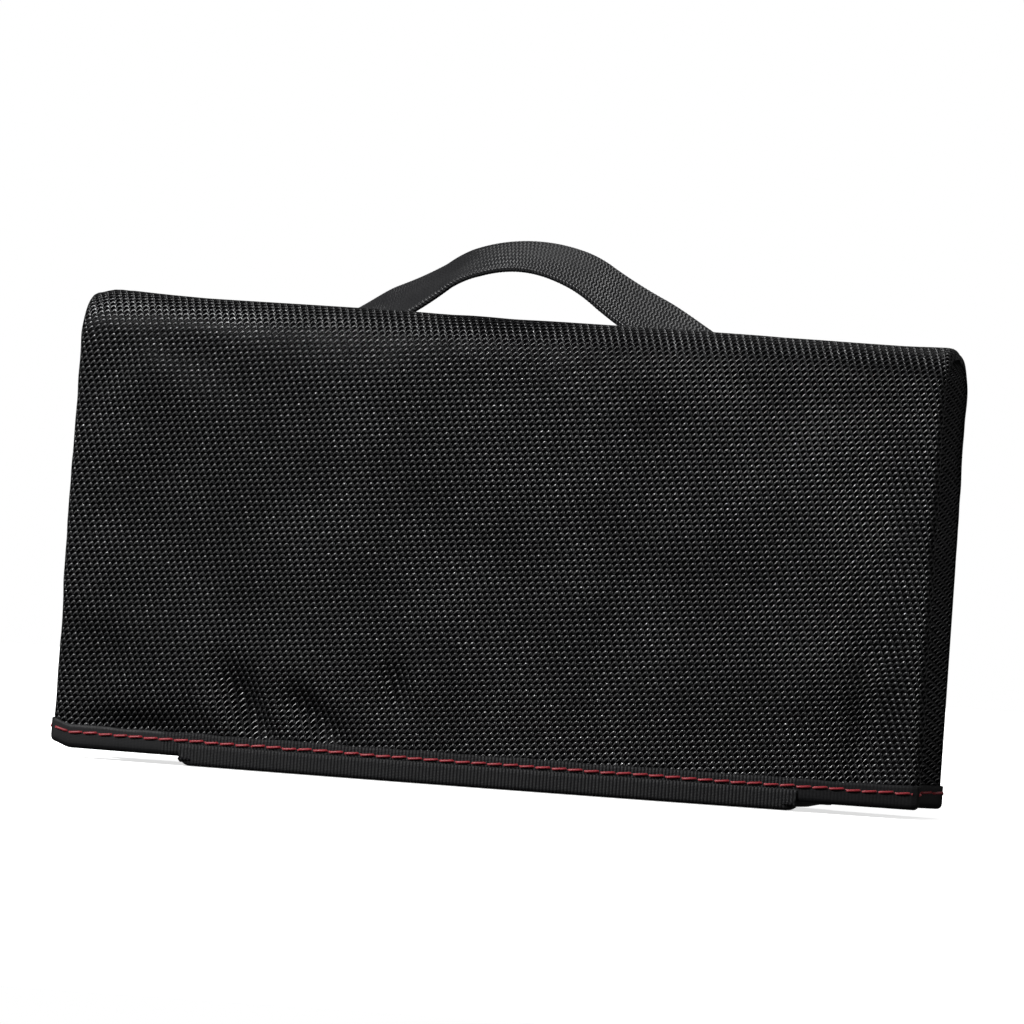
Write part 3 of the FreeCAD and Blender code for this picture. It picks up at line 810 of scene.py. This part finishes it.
def hairpin(reach, gap, back, radius):
    """Tape folded over an edge, as (out, up) pairs from the cloth's outer face and the tape's foot.

    gap is left before the cloth and back behind it, and radius is the fold's.
    """
    outer, inner = gap + TAPE, -(CLOTH + back + TAPE)
    middle = (outer + inner) / 2
    wide = (outer - inner) / 2
    narrow = wide - TAPE
    tight = radius - TAPE
    bend = np.linspace(0, math.pi, 9)
    outside = [(middle + wide * math.cos(a), radius - radius * math.sin(a)) for a in bend]
    inside = [(middle + narrow * math.cos(a), radius - tight * math.sin(a)) for a in bend[::-1]]
    lip = 0.22 * MM
    steps = np.linspace(radius, reach - lip, 7)[1:]
    up_inner = [(inner, z) for z in steps]
    down_channel = [(-(CLOTH + back), z) for z in steps[::-1]]
    up_channel = [(gap, z) for z in steps]
    down_outer = [(outer, z) for z in steps[::-1]]
    return np.array(
        outside
        + up_inner
        + [(inner + lip, reach), (-(CLOTH + back) - lip, reach)]
        + down_channel
        + inside
        + up_channel
        + [(gap + lip, reach), (outer - lip, reach)]
        + down_outer
    )


def mouth_loop():
    """The line of the cloth's outer face round the mouth, seen from above and running anticlockwise."""
    side_depth = HALF_DEPTH - float(fall(HALF_WIDTH))
    x = np.linspace(-HALF_WIDTH + 0.6 * MM, HALF_WIDTH - 0.6 * MM, 241)
    front = np.stack([x, -(HALF_DEPTH - fall(x)), np.zeros_like(x)], 1)
    tip = HALF_WIDTH - 0.9 * MM - CREASE_AT_MOUTH
    seam_x, seam_y = HALF_WIDTH - 0.4 * MM, side_depth - 1.4 * MM
    right = np.array([(seam_x, -seam_y, 0), (tip, 0, 0), (seam_x, seam_y, 0)])
    rear = front[::-1] * np.array([1, -1, 1])
    left = right[::-1] * np.array([-1, 1, 1])
    loop = evenly(np.concatenate([front, right, rear, left]), 0.35 * MM, close=True)
    return smoothed(loop, 14, close=True)


# Points left off both ends of a side's stitches, so that no tip shows past the corner.
SIDE_RUN_MARGIN = 4


def build_mouth():
    """The tape over the mouth's edge and the red stitches through it."""
    loop = mouth_loop()
    along = tangents(loop, close=True)
    outwards = np.stack([along[:, 1], -along[:, 0], np.zeros(len(along))], 1)
    ups = np.tile([0.0, 0.0, 1.0], (len(loop), 1))
    foot = loop.copy()
    foot[:, 2] = TAPE_LOW.z + foot_lift(loop[:, 0])
    reach = TAPE_HIGH.z - TAPE_LOW.z
    outline = np.tile(hairpin(reach, TAPE_GAP, TAPE_GAP, 1.5 * MM), (len(loop), 1, 1))
    travelled = lengths_along(foot)[: len(foot)]
    ripple = 0.10 * MM * np.sin(travelled / (5.2 * MM)) + 0.07 * MM * np.sin(travelled / (2.1 * MM) + 1)
    outline[..., 1] += ripple[:, None] * (outline[..., 1] / reach)
    binding = sweep("mouth_binding", foot, outwards, ups, outline, TAPE_CLOTH, close=True)
    fasten(
        binding, "bag", "binding_tape",
        "front_mouth_tape", "rear_mouth_tape", "left_mouth_tape", "right_mouth_tape",
    )
    on_tape = foot + outwards * (TAPE_GAP + TAPE)
    on_tape[:, 2] += STITCH_LEVEL - TAPE_LOW.z
    on_panel = np.abs(outwards[:, 1]) > 0.92
    runs = {
        "front": on_panel & (loop[:, 1] < 0),
        "rear": on_panel & (loop[:, 1] > 0),
        "left": ~on_panel & (loop[:, 0] < 0),
        "right": ~on_panel & (loop[:, 0] > 0),
    }
    for name, chosen in runs.items():
        numbers = np.flatnonzero(chosen)
        gap = np.flatnonzero(np.diff(numbers) > 1)
        if len(gap):
            numbers = np.roll(numbers, -(gap[0] + 1))
        if name in ("left", "right"):
            numbers = numbers[SIDE_RUN_MARGIN:-SIDE_RUN_MARGIN]
        thread = thread_run(f"{name}_mouth_thread", on_tape[numbers], outwards[numbers])
        fasten(thread, "bag", "red_thread", f"{name}_mouth_stitching")


# The handle: one strap of webbing, sewn flat at both feet

HANDLE_SPAN = 55 * MM
HANDLE_RISE = 16 * MM
CROWN_RADIUS = 40 * MM
CROWN_LEAN = math.radians(18)
LEG_LEAN = math.radians(27)
LEAN_GROWTH = 38 * MM
LEAN_END = 60 * MM
LEAN_FADE = 24 * MM
HANDLE_YAW = math.radians(12)
YAW_END = 50 * MM
YAW_FADE = 32 * MM
WEBBING_HALF = STRAP_HIGH.y
WEBBING_THICKNESS = 1.8 * MM
FOOT_LEVEL = STRAP_LOW.z + WEBBING_THICKNESS / 2
FEET_SINK = TOP_SAG - 0.3 * MM
SINK_START = 14 * MM
SINK_GROWTH = 44 * MM
CUP = 0.5 * MM


def strap_rise(x):
    """The height of the strap's middle over its feet: a crown arc between two opposite foot arcs."""
    foot_radius = (HANDLE_SPAN**2 + HANDLE_RISE**2) / (2 * HANDLE_RISE) - CROWN_RADIUS
    meeting = HANDLE_SPAN * CROWN_RADIUS / (CROWN_RADIUS + foot_radius)
    near = np.minimum(np.abs(x), meeting)
    crown = HANDLE_RISE - CROWN_RADIUS + np.sqrt(CROWN_RADIUS**2 - near**2)
    away = np.clip(HANDLE_SPAN - np.abs(x), 0, HANDLE_SPAN - meeting)
    foot = foot_radius - np.sqrt(foot_radius**2 - away**2)
    return np.where(np.abs(x) < meeting, crown, foot)


def build_handle():
    """The strap, which leans to the front and turns a little, and the stitches through its feet."""
    end = STRAP_HIGH.x
    x = np.linspace(-end, end, 900)
    line = evenly(np.stack([x, np.zeros_like(x), strap_rise(x)], 1), 0.45 * MM)
    x = line[:, 0]
    rise = strap_rise(x)
    out = np.abs(x)
    lean = CROWN_LEAN + (LEG_LEAN - CROWN_LEAN) * ease(out / LEAN_GROWTH)
    lean *= ease((LEAN_END - out) / LEAN_FADE)
    yaw = HANDLE_YAW * ease((YAW_END - out) / YAW_FADE)
    sunk = FEET_SINK * ease((out - SINK_START) / SINK_GROWTH)
    centres = np.stack([x, -rise * np.sin(lean), FOOT_LEVEL + rise * np.cos(lean) - sunk], 1)
    along = tangents(centres)
    width = np.stack([np.zeros_like(x), np.cos(lean), np.sin(lean)], 1)
    width = unit(width - along * np.sum(width * along, 1, keepdims=True))
    width = width * np.cos(yaw)[:, None] - along * np.sin(yaw)[:, None]
    upwards = unit(np.cross(along, width))
    half, thick = WEBBING_HALF, WEBBING_THICKNESS / 2
    flat = np.linspace(-(half - thick), half - thick, 15)
    turn = np.linspace(-math.pi / 2, math.pi / 2, 7)
    outline = (
        [(w, -thick) for w in flat[:-1]]
        + [(half - thick + thick * math.cos(a), thick * math.sin(a)) for a in turn]
        + [(w, thick) for w in flat[::-1][1:-1]]
        + [(-(half - thick) - thick * math.cos(a), thick * math.sin(a)) for a in turn[::-1]][:-1]
    )
    outline = np.tile(np.array(outline), (len(x), 1, 1))
    travelled = lengths_along(centres)[: len(x)]
    frayed = 0.10 * MM * np.sin(travelled * 2 * math.pi / (1.0 * MM))
    at_edge = (np.abs(outline[..., 0]) > half - 1.5 * thick) * np.sign(outline[..., 0])
    outline[..., 0] += frayed[:, None] * at_edge
    cupped = CUP * ease((40 * MM - out) / (30 * MM))
    outline[..., 1] -= cupped[:, None] * np.square(outline[..., 0] / half)
    strap = sweep("handle_strap", centres, width, upwards, outline, WEBBING)
    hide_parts("handle_left_leg", "handle_right_leg", "handle_crown")
    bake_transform(strap)
    for name in ("left", "right"):
        build_foot_stitching(name)


def build_foot_stitching(name):
    """A stitched box with one diagonal through a foot."""
    low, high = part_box(f"handle_{name}_stitching")
    level = low.z - FEET_SINK
    left, right, front, rear = low.x, high.x, low.y, high.y
    around = [(left, front), (right, front), (right, rear), (left, rear), (left, front)]
    corners = around + [(right, rear)]
    line = evenly(np.array([(x, y, level) for x, y in corners]), 0.25 * MM)
    outwards = np.tile([0.0, 0.0, 1.0], (len(line), 1))
    line = smoothed(line, 2)
    thread = thread_run(f"handle_{name}_thread", line, outwards, pitch=3 * MM, length=2.3 * MM)
    fasten(thread, "bag", "red_thread", f"handle_{name}_stitching")


# The closure flap: a spine folded under the mouth and a tongue up the rear

TONGUE_CORNER = 12 * MM
FLAP_SHIFT = 2.8 * MM
HEM = 0.45 * MM
HEM_TURN = 1.2 * MM
HEM_CORNER = 3 * MM
REAR_FOLD = 2.6 * MM
FOLD_ANGLES = 11
UNDER_STEPS = 25
REAR_FOLD_ANGLES = 7
TONGUE_STEPS = 30
FLAP_STEPS = 60


def flap_line(x, inset_by=0.0, border=0.0):
    """The flap's outer face at x as (y, z) points, from its root under the front tape to the tongue's top.

    inset_by moves the line in for an inner ply, and border keeps it off the tongue's free edge.
    """
    front = FLAP_LOW.y + float(fall(x)) + inset_by
    rear = FLAP_HIGH.y - float(fall(x)) - inset_by
    floor = FLAP_LOW.z + inset_by
    roll = 1.25 * MM - inset_by * 0.55
    points = [(front + 2.2 * MM, floor + 2 * roll)]
    for angle in np.linspace(math.pi / 2, 3 * math.pi / 2, FOLD_ANGLES):
        points.append((front + roll + roll * math.cos(angle), floor + roll + roll * math.sin(angle)))
    for share in np.linspace(0, 1, UNDER_STEPS + 1)[1:]:
        y = front + roll + (rear - REAR_FOLD - front - roll) * share
        points.append((y, floor + 0.5 * MM * math.sin(math.pi * share) ** 2))
    fold = REAR_FOLD - inset_by * 0.5
    for angle in np.linspace(-math.pi / 2, 0, REAR_FOLD_ANGLES + 1)[1:]:
        points.append((rear - fold + fold * math.cos(angle), floor + fold + fold * math.sin(angle)))
    lip = TONGUE_HIGH.z - border
    for share in np.linspace(0, 1, TONGUE_STEPS + 1)[1:]:
        points.append((rear, floor + fold + (lip - floor - fold) * share))
    return points


def flap_grid(half_x, inset_by=0.0, border=0.0):
    """The flap's outer face, finer towards its sides.

    Its columns close up round the tongue's corners, and under the bag its ends lift.
    """
    even = np.linspace(-1, 1, FLAP_STEPS + 1)
    columns = []
    for x in half_x * (np.sin(even * math.pi / 2) + even) / 2:
        columns.append([(x, y, z) for y, z in flap_line(x + FLAP_SHIFT, inset_by, border)])
    grid = np.stack(columns, 1)
    rise = np.clip(grid[..., 2] - (TONGUE_HIGH.z - border - TONGUE_CORNER), 0, TONGUE_CORNER)
    on_tongue = grid[..., 1] > 10 * MM
    narrower = (TONGUE_CORNER - np.sqrt(TONGUE_CORNER**2 - rise**2)) * on_tongue
    grid[..., 0] *= (half_x - narrower) / half_x
    ends = ease((np.abs(grid[..., 0]) - (half_x - 8 * MM)) / (6 * MM))
    under = 1 - ease((grid[..., 2] - 0.6 * MM) / (1.2 * MM))
    grid[..., 2] += 1.1 * MM * ends * under
    grid[..., 0] += FLAP_SHIFT
    along = lengths_along(grid[:, FLAP_STEPS // 2])
    uv = np.stack([grid[..., 0], np.broadcast_to(along[:, None], grid.shape[:2])], 2)
    return grid[:, ::-1], uv[:, ::-1]


def build_flap():
    """The flap's cloth and lining, each split at the middle of the mouth into a spine and a tongue."""
    half_x = FLAP_HIGH.x - FLAP_SHIFT
    split = 1 + FOLD_ANGLES + (UNDER_STEPS + 1) // 2
    parts = {"spine": slice(0, split), "tongue": slice(split - 1, None)}
    plies = [
        ("cloth", "", 0.0, 0.0, CLOTH, FLAP_CLOTH, "shell_cloth"),
        ("inner", "_lining", 4 * MM, CLOTH + 0.1 * MM, LINING_THICKNESS, LINING, "glass_fibre_lining"),
    ]
    for ply, node_end, border, inset_by, thickness, material, slot in plies:
        reach = half_x - border
        grid, uv = flap_grid(reach, inset_by, border)
        for name, rows in parts.items():
            piece = thick_sheet(f"flap_{name}_{ply}", grid[rows], thickness, uv[rows], material)
            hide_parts(f"flap_{name}{node_end}")
            if name == "spine":
                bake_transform(piece)
            else:
                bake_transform(piece)
    build_flap_hem(half_x)
    build_tongue_binding(half_x)
    build_fasteners()


def build_flap_hem(half_x):
    """The ribbed tape over the flap's root: it starts under the stitches and turns under the bag."""
    top, bottom = STITCH_LEVEL - 1.0 * MM, FLAP_LOW.z
    end = np.linspace(0.96, 1, 12)
    x = np.concatenate([-end[::-1], np.linspace(-0.96, 0.96, 111)[1:-1], end]) * half_x
    into = np.clip(np.abs(x) - (half_x - HEM_CORNER), 0, HEM_CORNER)
    round_end = HEM_CORNER - np.sqrt(HEM_CORNER**2 - np.square(into))
    x += FLAP_SHIFT
    face = -(HALF_DEPTH - fall(x)) - TAPE_GAP - TAPE - HEM
    foot = bottom + np.minimum(round_end, 2.0 * MM)
    rows = [(face + 0.25 * MM, np.full_like(x, top))]
    start = top - 0.5 * MM
    rows += [(face, start - (start - foot - HEM_TURN) * share) for share in np.linspace(0, 1, 7)]
    for angle in np.linspace(0, math.pi / 2, 8)[1:]:
        rows.append((face + HEM_TURN * (1 - math.cos(angle)), foot + HEM_TURN * (1 - math.sin(angle))))
    rows += [(face + HEM_TURN + reach, foot) for reach in np.linspace(0, 4 * MM, 4)[1:]]
    grid = np.array([np.stack([x, y, z], 1) for y, z in rows])[::-1]
    along = lengths_along(grid[:, len(x) // 2])
    uv = np.stack(np.broadcast_arrays(along[:, None], x[None, :]), 2)
    hem = thick_sheet("flap_hem", grid, HEM, uv, TAPE_CLOTH)
    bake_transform(hem)


def tongue_edge(half_x, margin):
    """The tongue's free edge set in by a margin, from its left foot over the top to its right foot."""
    foot, lip = 5 * MM, TONGUE_HIGH.z - margin
    half, corner = half_x - margin, TONGUE_CORNER - margin / 2
    turn = np.linspace(0, math.pi / 2, 12)
    right = [(half - corner + corner * math.cos(a), lip - corner + corner * math.sin(a)) for a in turn]
    flat = [(half, foot)] + right + [(-x, z) for x, z in right[::-1]] + [(-half, foot)]
    line = np.array([(x + FLAP_SHIFT, TONGUE_HIGH.y - float(fall(x + FLAP_SHIFT)), z) for x, z in flat])
    return evenly(line, 0.5 * MM)


def rear_normals(line):
    """Normals of the curved rear side along a line."""
    angle = np.arcsin(line[:, 0] / PANEL_RADIUS)
    return np.stack([np.sin(angle), np.cos(angle), np.zeros_like(angle)], 1)


def build_tongue_binding(half_x):
    """The tape round the tongue's free edge and the red stitches through it."""
    line = tongue_edge(half_x, 0.0)
    line[:, 1] = TONGUE_HIGH.y - fall(line[:, 0])
    normals = rear_normals(line)
    inwards = unit(np.cross(normals, tangents(line)))
    centre = np.array([0, TONGUE_HIGH.y, 30 * MM])
    inwards *= np.sign(np.sum(inwards * (centre - line), 1))[:, None]
    edge = line - inwards * 1.0 * MM
    outline = hairpin(TAPE_HIGH.z - TAPE_LOW.z, TAPE_GAP, 1.0 * MM, 1.2 * MM)
    binding = sweep("tongue_binding", edge, normals, inwards, outline, TAPE_CLOTH)
    fasten(binding, "flap_tongue_body", "binding_tape", "tongue_tape")
    seam = evenly(tongue_edge(half_x, 3.4 * MM), 0.25 * MM)
    seam[:, 1] = TONGUE_HIGH.y - fall(seam[:, 0])
    normals = rear_normals(seam)
    thread = thread_run("tongue_thread", seam + normals * (TAPE + TAPE_GAP), normals)
    fasten(thread, "flap_tongue_body", "red_thread", "tongue_stitching")


# The hook-and-loop fastener

BACKING = 0.4 * MM
LOOPS = 1500
LOOP_RADIUS = 0.07 * MM
HOOK_PITCH = 1.7 * MM
OFF_AXIS = np.array([0.31, 0.77, 0.55])
HOOK_RADIUS = 0.11 * MM
# One hook's line as (out, up) from its foot, in millimetres.
HOOK_LINE = [(0, 0), (0.35, 0.05), (0.6, 0.2), (0.62, 0.42), (0.45, 0.55)]


def tube_pieces(lines, radius, sides=4):
    """Many thin bent tubes as one list of points and faces."""
    points, faces = [], []
    angles = 2 * math.pi * np.arange(sides)[:, None] / sides
    for start, line in enumerate(np.asarray(lines)):
        count = len(line) * sides
        along = tangents(line)
        aside = unit(np.cross(along, OFF_AXIS))[:, None]
        lift = np.cross(along, aside[:, 0])[:, None]
        ring = radius * (aside * np.cos(angles) + lift * np.sin(angles))
        points.append((line[:, None] + ring).reshape(-1, 3))
        row, col = face_corners(len(line), sides, wrap=True)
        faces += (start * count + row * sides + col % sides).tolist()
        ends = np.arange(sides) + start * count
        faces += [ends.tolist(), (ends + count - sides).tolist()]
    return np.concatenate(points), faces


def strip_backing(low, high, outer_y):
    """A strip's woven base, curved like the rear panel, as a grid of its outer face."""
    x = np.linspace(low.x, high.x, 63)
    z = np.linspace(low.z, high.z, 14)
    across, up = np.meshgrid(x, z)
    grid = np.stack([across, outer_y - fall(across), up], 2)[:, ::-1]
    return grid, np.stack([grid[..., 0], grid[..., 2]], 2)


def add_fastener(name, node, body, outer_y, lines, radius, material):
    """One strip: its base, and its hooks or loops as one piece of thin bent tubes."""
    low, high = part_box(node)
    grid, uv = strip_backing(low, high, outer_y)
    backing = thick_sheet(name, grid, BACKING, uv, material)
    points, faces = tube_pieces(lines, radius)
    corner_uvs = [(points[number][0], points[number][2]) for face in faces for number in face]
    pile = make_mesh(f"{name}_pile", points, faces, corner_uvs, material, sharp_angle=80)
    for piece in (backing, pile):
        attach(piece, body)
    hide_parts(node)


def build_fasteners():
    """Loops scattered over the strip on the bag's rear, and rows of hooks on the tongue's inside."""
    low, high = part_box("loop_strip")
    base_y = HALF_DEPTH + 0.55 * MM
    loops = []
    for _ in range(LOOPS):
        x = chance.uniform(low.x + 1 * MM, high.x - 1 * MM)
        z = chance.uniform(low.z + 0.8 * MM, high.z - 0.8 * MM)
        turn = chance.uniform(0, math.pi)
        wide = chance.uniform(0.35, 0.6) * MM
        tall = chance.uniform(0.35, 0.6) * MM
        y = base_y - float(fall(x)) - 0.1 * MM
        loop = []
        for a in np.linspace(0, math.pi, 6):
            reach = wide * math.cos(a)
            loop.append((x + reach * math.cos(turn), y + tall * math.sin(a), z + reach * math.sin(turn)))
        loops.append(loop)
    add_fastener(
        "loop_tape", "loop_strip", "bag", base_y, loops, LOOP_RADIUS, LOOP_PILE,
    )
    hook_low, hook_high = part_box("hook_strip")
    face_y = hook_high.y - 0.5 * MM
    hooks = []
    rows = np.arange(hook_low.z + 1.2 * MM, hook_high.z - 0.8 * MM, HOOK_PITCH)
    columns = np.arange(hook_low.x + 1.2 * MM, hook_high.x - 0.8 * MM, HOOK_PITCH)
    for z in rows:
        for x in columns:
            y = face_y - float(fall(x))
            hooks.append([(x, y - out * MM, z + up * MM) for out, up in HOOK_LINE])
    add_fastener(
        "hook_tape", "hook_strip", "flap_tongue_body", face_y + BACKING, hooks,
        HOOK_RADIUS, HOOK_PLASTIC,
    )


# Stage, light and camera

FLOOR_RADIUS = 1.6
DOME_RADIUS = 7
WORLD_STRENGTH = 0.05


def add_solid(name, make, **sizes):
    """An object made by one bmesh operator."""
    mesh = bpy.data.meshes.new(name)
    solid = bmesh.new()
    make(solid, **sizes)
    solid.to_mesh(mesh)
    solid.free()
    return add_object(name, mesh)


def build_stage():
    """White paper under the bag that glows, more weakly near the bag, a white dome that only the camera sees,
    and a dim world.
    """
    floor = add_solid("floor", bmesh.ops.create_circle, cap_ends=True, radius=FLOOR_RADIUS, segments=96)
    floor.location.z = -0.2 * MM
    paper = Shader("paper")
    x, y, _ = paper.split(paper.position)
    squares = paper.math("ADD", paper.math("MULTIPLY", x, x), paper.math("MULTIPLY", y, y))
    away = paper.math("SQRT", squares)
    # Painted light: the floor glows so that it reads white, with the glow at 0.70 near the bag rising to 1.0
    # further out; it is hidden from diffuse and glossy rays.
    paper.set(
        Base_Color=(0.93, 0.93, 0.93, 1),
        Roughness=0.9,
        Emission_Color=(1, 1, 1, 1),
        Emission_Strength=paper.between(away, 0.12, 0.26, 0.70, 1.0),
    )
    floor.data.materials.append(paper.material)
    dome = add_solid(
        "backdrop", bmesh.ops.create_uvsphere, u_segments=48, v_segments=24, radius=DOME_RADIUS,
    )
    glow = Shader("white_backdrop")
    glow.set(
        Base_Color=(0, 0, 0, 1),
        Specular_IOR_Level=0.0,
        Emission_Color=(1, 1, 1, 1),
        Emission_Strength=1.0,
    )
    dome.data.materials.append(glow.material)
    for rays in ("visible_diffuse", "visible_glossy", "visible_transmission", "visible_shadow"):
        setattr(dome, rays, False)
    floor.visible_glossy = False
    floor.visible_diffuse = False
    world = bpy.data.worlds.new("studio")
    world.use_nodes = True
    background = world.node_tree.nodes["Background"]
    background.inputs["Color"].default_value = (1, 1, 1, 1)
    background.inputs["Strength"].default_value = WORLD_STRENGTH
    bpy.context.scene.world = world


def add_light(name, place, target, width, height, power):
    """A rectangular lamp of so many watts, aimed at a target."""
    data = bpy.data.lights.new(name, "AREA")
    data.shape = "RECTANGLE"
    data.size = width
    data.size_y = height
    data.energy = power
    lamp = add_object(name, data)
    lamp.location = place
    lamp.rotation_euler = (Vector(target) - Vector(place)).to_track_quat("-Z", "Y").to_euler()


def build_lights():
    """A key light high on the left, low strips on both sides and a soft one high behind the bag."""
    middle = (0, 0, 0.07)
    add_light("key", (-1.70, -2.05, 1.95), middle, 0.8, 0.8, 165)
    add_light("left", (-1.50, -0.35, 0.30), middle, 0.3, 0.7, 4)
    add_light("right", (1.45, -0.40, 0.50), middle, 0.35, 0.7, 4)
    add_light("rear", (0.30, 1.45, 2.50), middle, 0.8, 0.8, 24)


AZIMUTH = math.radians(12.6)
ELEVATION = math.radians(0.5)
ROLL = math.radians(3.95)
DISTANCE = 4.5
VIEW_WIDTH = 0.2768
AIM_RIGHT = -0.35 * MM
AIM_UP = 0.1 * MM


def build_camera():
    """A long lens a little to the right of the front, rolled so that the bag slopes as in the photo."""
    data = bpy.data.cameras.new("camera")
    data.sensor_width = 36
    data.lens = data.sensor_width * DISTANCE / VIEW_WIDTH
    data.clip_end = 40
    camera = add_object("camera", data)
    reach = math.cos(ELEVATION)
    away = Vector((math.sin(AZIMUTH) * reach, -math.cos(AZIMUTH) * reach, math.sin(ELEVATION)))
    level = (-away).to_track_quat("-Z", "Y")
    turned = level @ Quaternion((0, 0, 1), ROLL)
    right, up = turned @ Vector((1, 0, 0)), turned @ Vector((0, 1, 0))
    low, high = size_at_load
    middle = Vector((0, 0, (low[2] + high[2]) / 2))
    aim = middle + right * AIM_RIGHT + up * AIM_UP
    camera.location = aim + away * DISTANCE
    camera.rotation_mode = "QUATERNION"
    camera.rotation_quaternion = turned
    bpy.context.scene.camera = camera
    bpy.context.scene.view_settings.view_transform = "Standard"


build_camera()
build_shell()
build_mouth()
build_handle()
build_flap()
build_stage()
build_lights()
